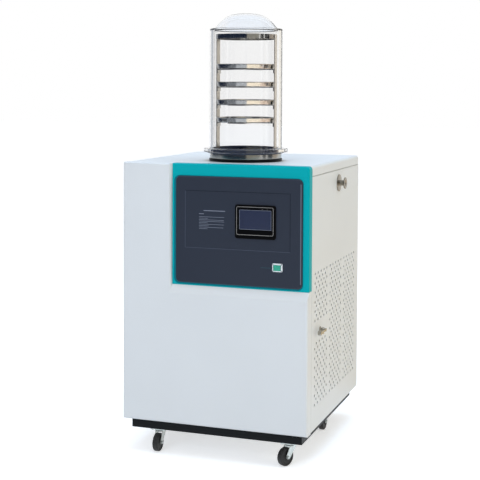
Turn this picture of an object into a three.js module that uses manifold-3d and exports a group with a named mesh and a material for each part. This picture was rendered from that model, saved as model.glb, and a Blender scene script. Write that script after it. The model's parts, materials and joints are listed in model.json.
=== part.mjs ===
// A floor-standing laboratory freeze dryer: a sheet-metal cabinet on swivel castors holds the
// refrigeration, and a clear drying chamber with a tray rack stands over the cold trap on its top.
// Millimetres, +Z up, the front looks along -Y, and the floor is z = 0.
import * as THREE from "three";
import { mergeVertices } from "three/addons/utils/BufferGeometryUtils.js";
import Module from "manifold-3d";

const wasm = await Module();
wasm.setup();

// ---------------------------------------------------------------- driving dimensions

const gap = 0.3; // between pieces that touch
const over = 1; // how far a cutting tool runs past what it cuts
const sheet = 2; // casing sheet

const casing = { width: 640, depth: 680, height: 860, edge: 10 };
const front = { depth: 45, recess: 12 }; // the front unit, and how far the control area sits back in it
const step = { width: 474, height: 427, sideSlope: 7, ledgeSlope: 28 }; // the recess at its upper right
const surround = { corner: 12, edge: 5, wall: 3, rim: 14 };
const plate = { corner: 16, edge: 3.5, thick: 6 };
const plateMargin = { left: 15.7, right: 21, bottom: 8.7, top: 40 }; // in the surround's face
const screen = { width: 137, height: 106, proud: 4.5, shell: 8, body: 30, lip: 7, foot: 4, glass: 1 };
const screenPlace = { fromRight: 154.5, fromTop: 143 }; // its middle, from the control plate's edges
const power = { width: 34, height: 27, proud: 2, rim: 5, flange: 3, body: 22, well: 12, tilt: 9 };
const powerPlace = { fromRight: 81.5, fromBottom: 66 };
const cover = { skirt: 32, corner: 12 };
const side = { bottom: 1, seam: 1, flange: 18, bend: 3 };
const rear = { drop: 326.8, slotWidth: 120, slotHeight: 8, slotPitch: 20, slots: 6, columns: 2, gap: 40 };

// The punched field of the right side: blocks of columns, with a second grid set between the first.
const punch = { radius: 4.8, columns: 5, blocks: 3, blockGap: 43.9, frontMargin: 41.4, rearMargin: 68.7 };
const punchRows = { count: 15, top: 509.3, bottom: 83.3 };
const punchBlank = { block: 0, above: 30, below: 30 }; // left plain round the drain valve

const frame = { height: 32, sideInset: 24, frontInset: 25, rearInset: 15, rail: 58, web: 3 };
const pan = { edge: 12, frontGap: 4 };
const upright = { leg: 30, web: 2.5 };

const caster = { wheel: 60, headroom: 15, tread: 20, trail: 23, plate: 56, axle: 3.7, king: 5 };
const casterInset = { left: 91, right: 47, front: 30, rear: 185 }; // kingpins, from the base frame's edges
const casterTurn = { front_left: 0, front_right: -27, rear_left: 0, rear_right: 0 };

// The chamber's axis on the top cover, and the stack that seals on it. The jar's tube sets the rest:
// the seal's lip fits in its bore, the rack stands in the lip, and the trap's collar bears the rack.
const chamber = { x: 32, fromFront: 185 };
const jar = { outer: 123.5, wall: 10, flange: 19.5, flangeHeight: 12, top: 442, edge: 1.5 };
const seal = { clearance: 1.5, lip: 3.5, lipHeight: 18, thick: 3, reach: 7.5 };
const rack = { clearance: 1.5, ledge: 4.5, band: 2, base: 10, headroom: 14, bandHeight: 16 };
const trap = { bearing: 7, wall: 1.5, depth: 190, floorRound: 14, collarInset: 1.5, collarHeight: 18 };
const deckGasket = { reach: 2.5, height: 8.7, boreClearance: 1.5 };
const dome = { rim: 5, shoulder: 16, rise: 52, flank: 55, pull: 62, crown: 44, wall: 5, edge: 3 };
const post = { width: 30, thick: 2.5, weld: 0.8 };
const trays = { count: 4, first: 131, headroom: 117, height: 17, wall: 1.2, draft: 2, rim: 2 };
const shelf = { thick: 2.5, arm: 30, foot: 60, tab: 14 };

const coil = { tube: 5, pitch: 15, first: 25, below: 11.5, facets: 10, tail: 6 };
const foam = { clearance: 5, wall: 22, floor: 30 };
const drain = { radius: 6, bore: 4, stub: 4 };

const port = { fromFront: 339, drop: 79, neck: 9.5, bore: 8, disc: 29.5, discThick: 3, flange: 20, reach: 24.5 };
const portInside = 26; // its tail, from the panel in to the vacuum line
const valve = { fromFront: 101, z: 318.5, ball: 8, neck: 7, throat: 6, nut: 10, nutThick: 4, stem: 3 };
const valveInside = 20; // its tail, from the panel in to the drain line
const outlet = { radius: 4, bore: 2.6, drop: 14 };
const lever = { reach: 56, hub: 6, thick: 2.2, width: 6.5, grip: 7.5, gripLength: 12 };

const compressor = { x: -110, y: -40, radius: 92, height: 235, lift: 22, crown: 8, stub: 0.55, stubTop: 6 };
const compressorFoot = { width: 230, depth: 150, thick: 4, corner: 14, mount: 11, inset: 20, height: 14 };
const condenser = { fromRight: 65, y: 110, z: 180, thick: 60, width: 260, height: 290 };
const fins = { count: 9, depth: 14, margin: 10, endMargin: 6, foot: 20, footInset: 4 };
const fan = { radius: 104, tip: 4, blades: 5, pitch: 18, blade: 2.4, shroud: 24, hub: 20 };
const motor = { radius: 38, length: 55, shaft: 4, arm: 14, armThick: 3, standoff: 4 };
const enclosure = { clearance: 4, wall: 1.5, headroom: 4 };
const inlet = { fromLeft: 100, z: 60, width: 50, height: 28, deep: 24, rim: 4, lip: 3 };

// Segments of round pieces.
const round = { jar: 24, ring: 20, tray: 16, wheel: 12, drum: 14, small: 8, tiny: 6 };

// ---------------------------------------------------------------- places worked out from the above

const half = { x: casing.width / 2, y: casing.depth / 2 };
const casterHeight = caster.wheel + caster.headroom;
const casingBottom = casterHeight + frame.height;
const frontBack = -half.y + front.depth; // back plane of the front unit, where side and top sheets start
const controlFace = -half.y + front.recess;
const plateFace = controlFace - gap - plate.thick;
const sideTop = casing.height - cover.skirt - side.seam;
const chamberAt = { x: chamber.x, y: frontBack + chamber.fromFront };
const portAt = { y: frontBack + port.fromFront, z: casing.height - port.drop };
const valveAt = { y: frontBack + valve.fromFront, z: valve.z };
const valveCentre = gap + valve.nutThick + valve.neck; // of its ball, out from the panel
const leverStart = valveCentre + valve.ball + gap;
const leverEnd = leverStart + lever.thick;

const stepBox = { left: half.x - step.width, bottom: casing.height - step.height };
const surroundBox = {
  left: stepBox.left + step.sideSlope + gap,
  bottom: stepBox.bottom + step.ledgeSlope + gap,
};
const plateBox = {
  left: surroundBox.left + plateMargin.left,
  right: half.x - plateMargin.right,
  bottom: surroundBox.bottom + plateMargin.bottom,
  top: casing.height - plateMargin.top,
};
const screenAt = { x: plateBox.right - screenPlace.fromRight, z: plateBox.top - screenPlace.fromTop };
const powerAt = { x: plateBox.right - powerPlace.fromRight, z: plateBox.bottom + powerPlace.fromBottom };
const inletAt = { x: -half.x + inlet.fromLeft, z: inlet.z };

const base = {
  x: half.x - frame.sideInset,
  y0: -half.y + frame.frontInset,
  y1: half.y - frame.rearInset,
};
const panFloor = gap + sheet + gap;
const uprightCorner = {
  x: base.x - sheet - gap,
  front: frontBack + pan.frontGap + sheet + gap,
  rear: base.y1 - sheet - gap,
};
const casterAt = {
  front_left: [-base.x + casterInset.left, base.y0 + casterInset.front],
  front_right: [base.x - casterInset.right, base.y0 + casterInset.front],
  rear_left: [-base.x + casterInset.left, base.y1 - casterInset.rear],
  rear_right: [base.x - casterInset.right, base.y1 - casterInset.rear],
};

// Radii of the chamber's stack, from the jar's bore inwards, and its levels above the top cover.
const jarBore = jar.outer - jar.wall;
const sealInner = jarBore - seal.clearance - seal.lip;
const rackLedge = sealInner - rack.clearance;
const rackOuter = rackLedge - rack.ledge;
const trayRadius = rackOuter - rack.band;
const trapInner = rackLedge - trap.bearing;
const trapOuter = trapInner + trap.wall;
const trapCollar = jar.outer - trap.collarInset;
const coverBore = trapOuter + deckGasket.boreClearance;
const gasketTop = gap + deckGasket.height;
const collarBottom = gasketTop + gap;
const collarTop = collarBottom + trap.collarHeight;
const sealBottom = collarTop + gap;
const jarBottom = sealBottom + seal.thick + gap;
const rackTop = jar.top - rack.headroom;
const trayPitch = (rackTop - trays.headroom - trays.first) / (trays.count - 1);
const trayLevel = (i) => trays.first + i * trayPitch;

// The coil hugs the well: its facets' middles, not its corners, lie against the wall. It winds from
// near the floor to just under the vacuum line, in as many whole turns as its pitch allows.
const coilRadius = (trapOuter + gap + coil.tube) / Math.cos(Math.PI / coil.facets);
const coilLow = -trap.depth + coil.first;
const coilHigh = -port.drop - port.neck - coil.tube - coil.below;
const coilTurns = Math.max(1, Math.floor((coilHigh - coilLow) / coil.pitch));
const foamInner = coilRadius + coil.tube + foam.clearance;
const foamOuter = foamInner + foam.wall;
const coilBottom = -trap.depth - foam.floor - coil.tail;
const drainBottom = -trap.depth - foam.floor - drain.stub;

const compressorTop = panFloor + compressor.height + compressor.stubTop;
const condenserX = half.x - condenser.fromRight;
const shroudFace = -condenser.thick / 2 - gap; // the shroud's back, on the condenser's inner face
const fanRing = fan.radius + fan.tip;
const motorFace = shroudFace - fan.shroud - motor.standoff;

// ---------------------------------------------------------------- solids from three.js geometry

// A closed geometry as a manifold solid.
function solidOf(geometry) {
  const bare = geometry.clone();
  bare.deleteAttribute("normal");
  bare.deleteAttribute("uv");
  const merged = mergeVertices(bare, 1e-4);
  const vertProperties = merged.attributes.position.array;
  const triVerts = new Uint32Array(merged.index.array);
  return new wasm.Manifold(new wasm.Mesh({ numProp: 3, vertProperties, triVerts }));
}

function geometryOf(solid) {
  const { vertProperties, triVerts } = solid.getMesh();
  const geometry = new THREE.BufferGeometry();
  geometry.setAttribute("position", new THREE.BufferAttribute(vertProperties, 3));
  geometry.setIndex(new THREE.BufferAttribute(triVerts, 1));
  return geometry;
}

// The four corner radii of a roundedRect.
const allCorners = (radius) => Array(4).fill(radius);
const sharp = allCorners(0);

const join = (first, ...rest) => rest.reduce((all, next) => all.add(next), first);
const cut = (first, ...tools) => tools.reduce((left, tool) => left.subtract(tool), first);

function box(x0, x1, y0, y1, z0, z1) {
  const geometry = new THREE.BoxGeometry(x1 - x0, y1 - y0, z1 - z0);
  return solidOf(geometry.translate((x0 + x1) / 2, (y0 + y1) / 2, (z0 + z1) / 2));
}

// An outline through points, drawn anticlockwise.
function outline(points) {
  const list = points.map(([u, v]) => new THREE.Vector2(u, v));
  return new THREE.Shape(THREE.ShapeUtils.area(list) < 0 ? list.reverse() : list);
}

// A rectangle whose corners are rounded where its radii, from the lower left anticlockwise, say so.
function roundedRect(u0, u1, v0, v1, radii, steps = 4) {
  const corners = [
    [u0, v0, 1, 1, 180],
    [u1, v0, -1, 1, 270],
    [u1, v1, -1, -1, 0],
    [u0, v1, 1, -1, 90],
  ];
  const points = corners.flatMap(([u, v, du, dv, start], i) => {
    const r = radii[i];
    if (!r) return [[u, v]];
    return Array.from({ length: steps + 1 }, (_, k) => {
      const a = THREE.MathUtils.degToRad(start + (90 * k) / steps);
      return [u + du * r + r * Math.cos(a), v + dv * r + r * Math.sin(a)];
    });
  });
  return outline(points);
}

function circlePoints(u, v, radius, count, start = 0) {
  return Array.from({ length: count }, (_, k) => {
    const a = start + (2 * Math.PI * k) / count;
    return [u + radius * Math.cos(a), v + radius * Math.sin(a)];
  });
}

// Turns that lay an extrusion of a (u, v) outline in the plane it belongs to.
const facing = {
  up: new THREE.Matrix4(), // (x, y) raised along +Z
  front: new THREE.Matrix4().makeRotationX(Math.PI / 2), // (x, z) carried along -Y
  right: new THREE.Matrix4().makeBasis(
    new THREE.Vector3(0, 1, 0),
    new THREE.Vector3(0, 0, 1),
    new THREE.Vector3(1, 0, 0),
  ), // (y, z) carried along +X
};

// Outlines extruded from a plane. A rounded edge goes on the far face alone.
function extrude(shapes, way, start, length, edge = 0, steps = 3) {
  const spare = edge ? 2 * edge : 0; // the near face's own rounding is cut away
  const geometry = new THREE.ExtrudeGeometry(shapes, {
    depth: length + spare - 2 * edge,
    bevelEnabled: edge > 0,
    bevelThickness: edge,
    bevelSize: edge,
    bevelOffset: -edge,
    bevelSegments: steps,
  });
  geometry.translate(0, 0, edge - spare);
  const whole = solidOf(geometry);
  const size = whole.boundingBox();
  const [u0, v0] = size.min;
  const [u1, v1] = size.max;
  const far = box(u0 - over, u1 + over, v0 - over, v1 + over, 0, length + over);
  const kept = edge ? whole.intersect(far) : whole;
  const placed = geometryOf(kept).translate(0, 0, start).applyMatrix4(facing[way]);
  return solidOf(placed);
}

// The same, with a front outline given between two y planes.
const frontSlab = (shape, yFront, yBack, edge, steps) =>
  extrude(shape, "front", -yBack, yBack - yFront, edge, steps);

// A closed (radius, height) profile turned round the Z axis.
function revolve(points, segments, turn = 0) {
  const profile = points.map(([r, z]) => new THREE.Vector2(r, z));
  if (THREE.ShapeUtils.area(profile) < 0) profile.reverse();
  const onAxis = profile.some((p) => p.x === 0);
  if (onAxis) {
    while (profile[0].x !== 0 || profile[profile.length - 1].x !== 0) profile.push(profile.shift());
  } else {
    profile.push(profile[0].clone());
  }
  const geometry = new THREE.LatheGeometry(profile, segments, turn);
  return solidOf(geometry.rotateX(Math.PI / 2));
}

function rod(radius, z0, z1, segments, turn = 0) {
  const geometry = new THREE.CylinderGeometry(radius, radius, z1 - z0, segments, 1, false, turn);
  return solidOf(geometry.rotateX(Math.PI / 2).translate(0, 0, (z0 + z1) / 2));
}

// The radius of a faceted bore that a pin of this radius turns in freely.
const boreAround = (radius, segments) => (radius + gap) / Math.cos(Math.PI / segments);

const moved = (solid, x, y, z) => solid.translate([x, y, z]);
const alongX = (solid) => solid.rotate([0, 90, 0]);
const alongY = (solid) => solid.rotate([-90, 0, 0]);

// A round tube along straight runs between points, with a smooth bend at each point between.
function tube(points, bend, radius, steps, sides = round.tiny) {
  const at = points.map((p) => new THREE.Vector3(...p));
  const path = new THREE.CurvePath();
  let from = at[0];
  for (let i = 1; i < at.length - 1; i++) {
    const toward = (end) => end.clone().sub(at[i]).setLength(bend).add(at[i]);
    const bendStart = toward(at[i - 1]);
    const bendEnd = toward(at[i + 1]);
    path.add(new THREE.LineCurve3(from, bendStart));
    path.add(new THREE.QuadraticBezierCurve3(bendStart, at[i], bendEnd));
    from = bendEnd;
  }
  path.add(new THREE.LineCurve3(from, at[at.length - 1]));
  return tubeAlong(path, radius, steps, sides);
}

function tubeAlong(path, radius, steps, sides) {
  const section = outline(circlePoints(0, 0, radius, sides));
  return solidOf(new THREE.ExtrudeGeometry(section, { steps, extrudePath: path, bevelEnabled: false }));
}

// ---------------------------------------------------------------- materials

const finish = (color, roughness, metalness) => () =>
  new THREE.MeshStandardMaterial({ color, roughness, metalness });

const finishes = {
  frontPaint: finish(0xd3dae1, 0.45, 0),
  casingPaint: finish(0xd7d6d0, 0.5, 0),
  tealPaint: finish(0x12a3aa, 0.4, 0),
  plateGrey: finish(0x343b4a, 0.5, 0),
  blackPaint: finish(0x151716, 0.5, 0),
  blackPlastic: finish(0x17171a, 0.3, 0),
  whitePlastic: finish(0xd9dcdc, 0.4, 0),
  greenPlastic: finish(0x2aaf90, 0.35, 0),
  screenGlass: finish(0x2e354b, 0.1, 0),
  steel: finish(0xb9b6b0, 0.25, 1),
  zinc: finish(0xc2c6c4, 0.35, 1),
  copper: finish(0xb87446, 0.35, 1),
  rubber: finish(0x161616, 0.75, 0),
  foam: finish(0x2a2a2c, 0.95, 0),
  acrylic: () =>
    new THREE.MeshStandardMaterial({ color: 0xf2f5f7, roughness: 0.05, transparent: true, opacity: 0.25 }),
};

const dryer = new THREE.Group();
dryer.position.x = -port.reach / 2; // the port stands out on the right, so the whole is centred again

function addPiece(group, name, solid, surface) {
  const mesh = new THREE.Mesh(geometryOf(solid), finishes[surface]());
  mesh.name = name;
  group.add(mesh);
  return mesh;
}

// ---------------------------------------------------------------- front unit

// The step in the front panel that takes the controls, with its sloping ledge and side, grown by the wall.
// Each slope starts on the front face, and the tool runs on past that face by the same slope.
function stepTool(grow) {
  const far = 2 * casing.height;
  const y0 = -half.y - over;
  const face = controlFace + grow;
  const slope = (run) => (run * (face - y0)) / front.recess;
  const left = stepBox.left + step.sideSlope - grow;
  const bottom = stepBox.bottom + step.ledgeSlope - grow;
  const plan = outline([
    [left - slope(step.sideSlope), y0],
    [far, y0],
    [far, face],
    [left, face],
  ]);
  const profile = outline([
    [y0, bottom - slope(step.ledgeSlope)],
    [y0, far],
    [face, far],
    [face, bottom],
  ]);
  const tapered = extrude(plan, "up", 0, far).intersect(extrude(profile, "right", -far, 2 * far));
  return join(tapered, box(left, far, face - over, frontBack + 2 * sheet, bottom, far));
}

function makeFrontPanel() {
  const body = (inset) =>
    frontSlab(
      roundedRect(-half.x + inset, half.x - inset, gap + inset, casing.height - inset, sharp),
      -half.y + inset,
      frontBack + inset,
      casing.edge - inset,
    );
  return cut(body(0), stepTool(0), cut(body(sheet), stepTool(sheet)));
}

function makeSurround() {
  const { left, bottom } = surroundBox;
  const shell = (inset) => {
    const spare = surround.edge; // cut away again on the two sides that meet the step
    const corner = surround.corner - inset;
    const shape = roundedRect(
      left - spare,
      half.x - inset,
      bottom - spare,
      casing.height - inset,
      [0, 0, corner, 0],
    );
    const back = frontBack + (inset ? over : 0);
    const slab = frontSlab(shape, controlFace + inset, back, surround.edge - inset, 2);
    const top = casing.height + over;
    return slab.intersect(box(left + inset, half.x + over, -half.y, back, bottom + inset, top));
  };
  const window = box(
    plateBox.left + surround.rim,
    plateBox.right - surround.rim,
    -half.y,
    frontBack + over,
    plateBox.bottom + surround.rim,
    plateBox.top - surround.rim,
  );
  return cut(shell(0), shell(surround.wall), window);
}

// A box round a centre in the front plane, drawn in from its outline on all four sides.
function centredBox({ x, z }, { width, height }, inset, y0, y1) {
  const w = width / 2 - inset;
  const h = height / 2 - inset;
  return box(x - w, x + w, y0, y1, z - h, z + h);
}

// The same place with rounded corners and a rounded front edge.
function centredSlab({ x, z }, { width, height }, corner, y0, y1, edge) {
  const w = width / 2;
  const h = height / 2;
  const shape = roundedRect(x - w, x + w, z - h, z + h, allCorners(corner), 2);
  return frontSlab(shape, y0, y1, edge, 1);
}

function makeControlPlate() {
  const shell = (inset) =>
    frontSlab(
      roundedRect(
        plateBox.left + inset,
        plateBox.right - inset,
        plateBox.bottom + inset,
        plateBox.top - inset,
        allCorners(plate.corner - inset),
        3,
      ),
      plateFace + inset,
      controlFace - gap + (inset ? over : 0),
      plate.edge - inset,
      1,
    );
  const screenHole = centredBox(screenAt, screen, screen.shell - gap, -half.y, frontBack);
  const switchHole = centredBox(powerAt, power, power.flange - gap, -half.y, frontBack);
  return cut(shell(0), shell(sheet), screenHole, switchHole);
}

const screenFace = plateFace - gap - screen.proud;

// The screen's opening is set higher than its housing's middle: the housing has a deeper foot.
const glassAt = { x: screenAt.x, z: screenAt.z + screen.foot / 2 };
const glassSize = { width: screen.width, height: screen.height - screen.foot };

function makeScreen() {
  const back = plateFace - gap;
  const bezel = centredSlab(screenAt, screen, 4, screenFace, back, 1.5);
  const seat = screenFace + screen.glass + gap;
  const pocket = centredBox(glassAt, glassSize, screen.lip, screenFace - over, seat);
  const body = centredBox(screenAt, screen, screen.shell, back - over, back + screen.body);
  return cut(join(bezel, body), pocket);
}

function makeScreenGlass() {
  return centredBox(glassAt, glassSize, screen.lip + gap, screenFace, screenFace + screen.glass);
}

function makeSwitchFrame() {
  const back = plateFace - gap;
  const face = back - power.proud;
  const rim = centredSlab(powerAt, power, 2, face, back, 1);
  const body = centredBox(powerAt, power, power.flange, back - over, back + power.body);
  const well = centredBox(powerAt, power, power.rim, face - over, back + power.well);
  return cut(join(rim, body), well);
}

// The rocker: two flats that meet in a shallow ridge, tilted to its off side at rest. Its pivot is on
// its own origin, the ridge stands out from it, and its skirt narrows inwards to clear the well.
function makeRocker() {
  const ridge = -3;
  const skirt = { depth: 5, inset: 2 };
  const w = power.width / 2 - power.rim - 2 * gap;
  const h = power.height / 2 - power.rim - 2 * gap;
  const drop = w * Math.tan(THREE.MathUtils.degToRad(power.tilt));
  const profile = outline([
    [-w, ridge - drop],
    [0, ridge],
    [w, ridge - drop],
    [w - skirt.inset, skirt.depth],
    [-w + skirt.inset, skirt.depth],
  ]);
  return extrude(profile, "up", -h, 2 * h).rotate([0, 0, power.tilt]);
}

// ---------------------------------------------------------------- sheet-metal casing

function makeTopCover() {
  const shell = (inset) => {
    const spare = inset ? over : 0;
    const corner = cover.corner - inset;
    const front = frontBack + gap + inset;
    const shape = roundedRect(
      -half.x + inset,
      half.x - inset,
      front - 2 * casing.edge,
      half.y - inset,
      [0, 0, corner, corner],
      3,
    );
    const bottom = casing.height - cover.skirt - spare;
    const slab = extrude(shape, "up", bottom, cover.skirt - inset + spare, casing.edge - inset);
    return slab.intersect(box(-half.x, half.x, front, half.y, bottom, casing.height));
  };
  const bore = moved(rod(coverBore, 0, casing.height + over, round.ring), chamberAt.x, chamberAt.y, 0);
  return cut(shell(0), shell(sheet), bore);
}

// A shallow tray of folded sheet that closes one side, its flanges turned in.
function sideTray() {
  const tray = (inset) => {
    const spare = inset ? over : 0;
    const y0 = frontBack + gap + inset;
    const shape = roundedRect(y0, half.y - inset, side.bottom + inset, sideTop - inset, sharp);
    const depth = side.flange - inset + spare;
    return extrude(shape, "right", half.x - side.flange - spare, depth, side.bend - inset, 2);
  };
  return cut(tray(0), tray(sheet));
}

// Columns are spread evenly between the margins, less the plain strips between blocks. Every second
// row has one hole fewer in a block, set between the holes of the row above.
function punchedHoles() {
  const first = frontBack + gap + punch.frontMargin;
  const span = half.y - punch.rearMargin - first;
  const steps = punch.columns - 1;
  const columnPitch = (span - (punch.blocks - 1) * punch.blockGap) / (punch.blocks * steps);
  const blockPitch = steps * columnPitch + punch.blockGap;
  const rowPitch = (punchRows.top - punchRows.bottom) / (punchRows.count - 1) / 2;
  const isBlank = (block, z) =>
    block === punchBlank.block && z < valveAt.z + punchBlank.above && z > valveAt.z - punchBlank.below;
  const holes = [];
  for (let block = 0; block < punch.blocks; block++) {
    for (let row = 0; row < 2 * punchRows.count - 1; row++) {
      const between = row % 2;
      const z = punchRows.top - row * rowPitch;
      if (isBlank(block, z)) continue;
      for (let column = 0; column < punch.columns - between; column++) {
        const y = first + block * blockPitch + (column + between / 2) * columnPitch;
        holes.push(outline(circlePoints(y, z, punch.radius, 4)));
      }
    }
  }
  return extrude(holes, "right", half.x - side.flange / 2, side.flange);
}

function makeRightSide() {
  const hole = (radius) => alongX(rod(radius, -side.flange / 2, side.flange / 2, round.small));
  return cut(
    sideTray(),
    punchedHoles(),
    moved(hole(port.neck + 2), half.x, portAt.y, portAt.z),
    moved(hole(valve.throat + 1), half.x, valveAt.y, valveAt.z),
  );
}

function makeLeftSide() {
  return sideTray().mirror([1, 0, 0]);
}

const rearFace = half.y - sheet - gap; // the back sheet lies inside the sides' rear flanges

function makeRearPanel() {
  const wide = half.x - sheet - gap;
  const back = roundedRect(-wide, wide, side.bottom + sheet + gap, sideTop - sheet - gap, sharp);
  const slots = [];
  for (let column = 0; column < rear.columns; column++) {
    const x = (column - (rear.columns - 1) / 2) * (rear.slotWidth + rear.gap);
    for (let row = 0; row < rear.slots; row++) {
      const z = casing.height - rear.drop + row * rear.slotPitch;
      const w = rear.slotWidth / 2;
      slots.push(roundedRect(x - w, x + w, z, z + rear.slotHeight, sharp));
    }
  }
  const near = rearFace - 5 * sheet;
  const far = rearFace + 5 * sheet;
  const hole = centredBox(inletAt, inlet, inlet.rim + gap, near, far);
  return cut(frontSlab(back, rearFace - sheet, rearFace), frontSlab(slots, near, far), hole);
}

function makeInlet() {
  const floor = 4;
  const face = half.y - gap;
  const back = rearFace - inlet.deep;
  const flange = centredSlab(inletAt, inlet, 2, rearFace + gap, face, 0);
  const body = centredBox(inletAt, inlet, inlet.rim + 2 * gap, back, face - over);
  const well = centredBox(inletAt, inlet, inlet.rim + inlet.lip, back + floor, face + over);
  const pins = [-1, 0, 1].map((k) => {
    const x = inletAt.x + k * 7;
    const z = inletAt.z + (k ? 0 : 4);
    return box(x - 1, x + 1, back + floor - over, rearFace - inlet.lip, z - 2, z + 2);
  });
  return join(cut(join(flange, body), well), ...pins);
}

// ---------------------------------------------------------------- base

// Channel rails welded in a ring, open inwards, with one cross channel over the rear castors.
function makeBaseFrame() {
  const { x, y0, y1 } = base;
  const { rail, web, height } = frame;
  const [, crossY] = casterAt.rear_left;
  const ring = cut(
    box(-x, x, y0, y1, -height, 0),
    box(-x + rail, x - rail, y0 + rail, y1 - rail, -height - over, over),
    box(-x + web, x - web, y0 + web, y1 - web, -height + web, -web),
  );
  const cross = cut(
    box(-x + web / 2, x - web / 2, crossY - rail / 2, crossY + rail / 2, -height, 0),
    box(-x, x, crossY - rail / 2 + web, crossY + rail, -height + web, -web),
  );
  return join(ring, cross);
}

function makeBasePan() {
  const { x, y1 } = base;
  const y0 = frontBack + pan.frontGap;
  const top = gap + pan.edge;
  return cut(
    box(-x, x, y0, y1, gap, top),
    box(-x + sheet, x - sheet, y0 + sheet, y1 - sheet, gap + sheet, top + over),
  );
}

function makeUpright() {
  const { leg, web } = upright;
  const angle = outline([
    [0, 0],
    [leg, 0],
    [leg, web],
    [web, web],
    [web, leg],
    [0, leg],
  ]);
  return extrude(angle, "up", panFloor, casing.height - sheet - gap - panFloor);
}

function uprightPlaces() {
  const { x, front, rear } = uprightCorner;
  return {
    front_left: [-x, front, 0],
    front_right: [x, front, 90],
    rear_right: [x, rear, 180],
    rear_left: [-x, rear, 270],
  };
}

// ---------------------------------------------------------------- castors

// The plate bolts up, its race hangs under it, and the kingpin below is riveted over the fork's crown.
const castorTop = casterHeight - gap;
const race = { radius: 18.5, drop: 7.5 };
const crown = { radius: 19.5, thick: 3.5, top: castorTop - race.drop - gap };
const rivet = { reach: 2.5, thick: 2 };
const cheek = { x: caster.tread / 2 + 1.3, thick: 2, end: 6.5, shoulder: 13 };

function makeCasterPlate() {
  const { plate: size, king } = caster;
  const thick = 2.5;
  const w = size / 2;
  const flat = extrude(roundedRect(-w, w, -w, w, allCorners(6), 1), "up", castorTop - thick, thick);
  const kingEnd = crown.top - crown.thick - gap;
  const turned = revolve(
    [
      [0, castorTop - over],
      [race.radius - 1.5, castorTop - over],
      [race.radius, castorTop - race.drop],
      [king, castorTop - race.drop],
      [king, kingEnd - over],
      [0, kingEnd - over],
    ],
    round.small,
  );
  const head = rod(king + rivet.reach, kingEnd - rivet.thick, kingEnd, round.small);
  return join(flat, turned, head);
}

// A pressed fork: a round crown and two cheeks that taper down to the axle.
function makeFork() {
  const { king, trail, wheel, axle } = caster;
  const { x, thick, end, shoulder } = cheek;
  const disc = cut(
    rod(crown.radius, crown.top - crown.thick, crown.top, 10),
    rod(boreAround(king, round.small), 0, casterHeight, round.small),
  );
  const axleZ = wheel / 2;
  const shape = outline([
    [shoulder, crown.top - over / 2],
    [shoulder, crown.top - 8],
    [-trail + end, axleZ - end * 0.8],
    [-trail - end, axleZ - end * 0.8],
    [-trail - end, axleZ + end * 0.6],
    [-shoulder, crown.top - over / 2],
  ]);
  const cheeks = [-x - thick, x].map((start) => extrude(shape, "right", start, thick));
  const nut = { radius: 5.5, thick: 4, sunk: 0.2 };
  const side = x + thick;
  const bolt = alongX(
    join(
      rod(axle, -side, side, round.tiny),
      rod(nut.radius, side - nut.sunk, side + nut.thick, 6),
      rod(nut.radius, -side - nut.thick, -side + nut.sunk, 6),
    ),
  );
  return join(disc, ...cheeks, moved(bolt, 0, -trail, axleZ));
}

// Flats, not corners, touch the floor, so the facets' corners stand a little outside the true radius.
function makeWheel() {
  const { wheel, tread, axle, trail } = caster;
  const r = wheel / 2 / Math.cos(Math.PI / round.wheel);
  const w = tread / 2;
  const rightHalf = [
    [boreAround(axle, round.wheel), w],
    [r - 3, w],
    [r, w - 4],
  ];
  const profile = [...rightHalf, ...rightHalf.map(([u, v]) => [u, -v]).reverse()];
  const turned = revolve(profile, round.wheel, Math.PI / 2 - Math.PI / round.wheel);
  return moved(alongX(turned), 0, -trail, wheel / 2);
}

// ---------------------------------------------------------------- drying chamber, on the top cover

function makeDeckGasket() {
  const outer = trapCollar + deckGasket.reach;
  return revolve(
    [
      [coverBore, gap],
      [outer, gap],
      [outer, gasketTop],
      [coverBore, gasketTop],
    ],
    round.ring,
  );
}

// The cold trap: a drawn well with a thick collar that stands on the gasket.
function makeTrap() {
  const { wall, depth, floorRound } = trap;
  const edge = wall;
  const bend = floorRound * 0.3; // the floor's round corner is drawn as two chamfers
  const shell = revolve(
    [
      [0, -depth],
      [trapOuter - floorRound, -depth],
      [trapOuter - bend, -depth + bend],
      [trapOuter, -depth + floorRound],
      [trapOuter, collarBottom],
      [trapCollar, collarBottom],
      [trapCollar, collarTop - edge],
      [trapCollar - edge, collarTop],
      [trapInner, collarTop],
      [trapInner, -depth + floorRound],
      [trapInner - bend, -depth + bend + wall],
      [trapInner - floorRound, -depth + wall],
      [0, -depth + wall],
    ],
    round.ring,
  );
  const stub = rod(drain.radius, drainBottom, -depth + wall / 2, round.small);
  const bore = rod(drain.bore, drainBottom - over, -depth + 2 * wall, round.tiny);
  const sideBore = alongX(rod(port.bore, trapInner - port.bore, trapOuter + port.bore, round.small));
  return cut(join(shell, stub), bore, moved(sideBore, 0, 0, -port.drop));
}

function makeSeal() {
  const lipOuter = sealInner + seal.lip;
  const outer = jar.outer + seal.reach;
  return revolve(
    [
      [sealInner, sealBottom],
      [outer, sealBottom],
      [outer, sealBottom + seal.thick],
      [lipOuter, sealBottom + seal.thick],
      [lipOuter, sealBottom + seal.lipHeight],
      [sealInner, sealBottom + seal.lipHeight],
    ],
    round.ring,
  );
}

function makeJar() {
  const { outer, flangeHeight, edge, top } = jar;
  const flange = outer + jar.flange;
  return revolve(
    [
      [jarBore, jarBottom],
      [flange - edge, jarBottom],
      [flange, jarBottom + edge],
      [flange, jarBottom + flangeHeight - edge],
      [flange - edge, jarBottom + flangeHeight],
      [outer, jarBottom + flangeHeight],
      [outer, top],
      [jarBore, top],
    ],
    round.jar,
  );
}

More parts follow.
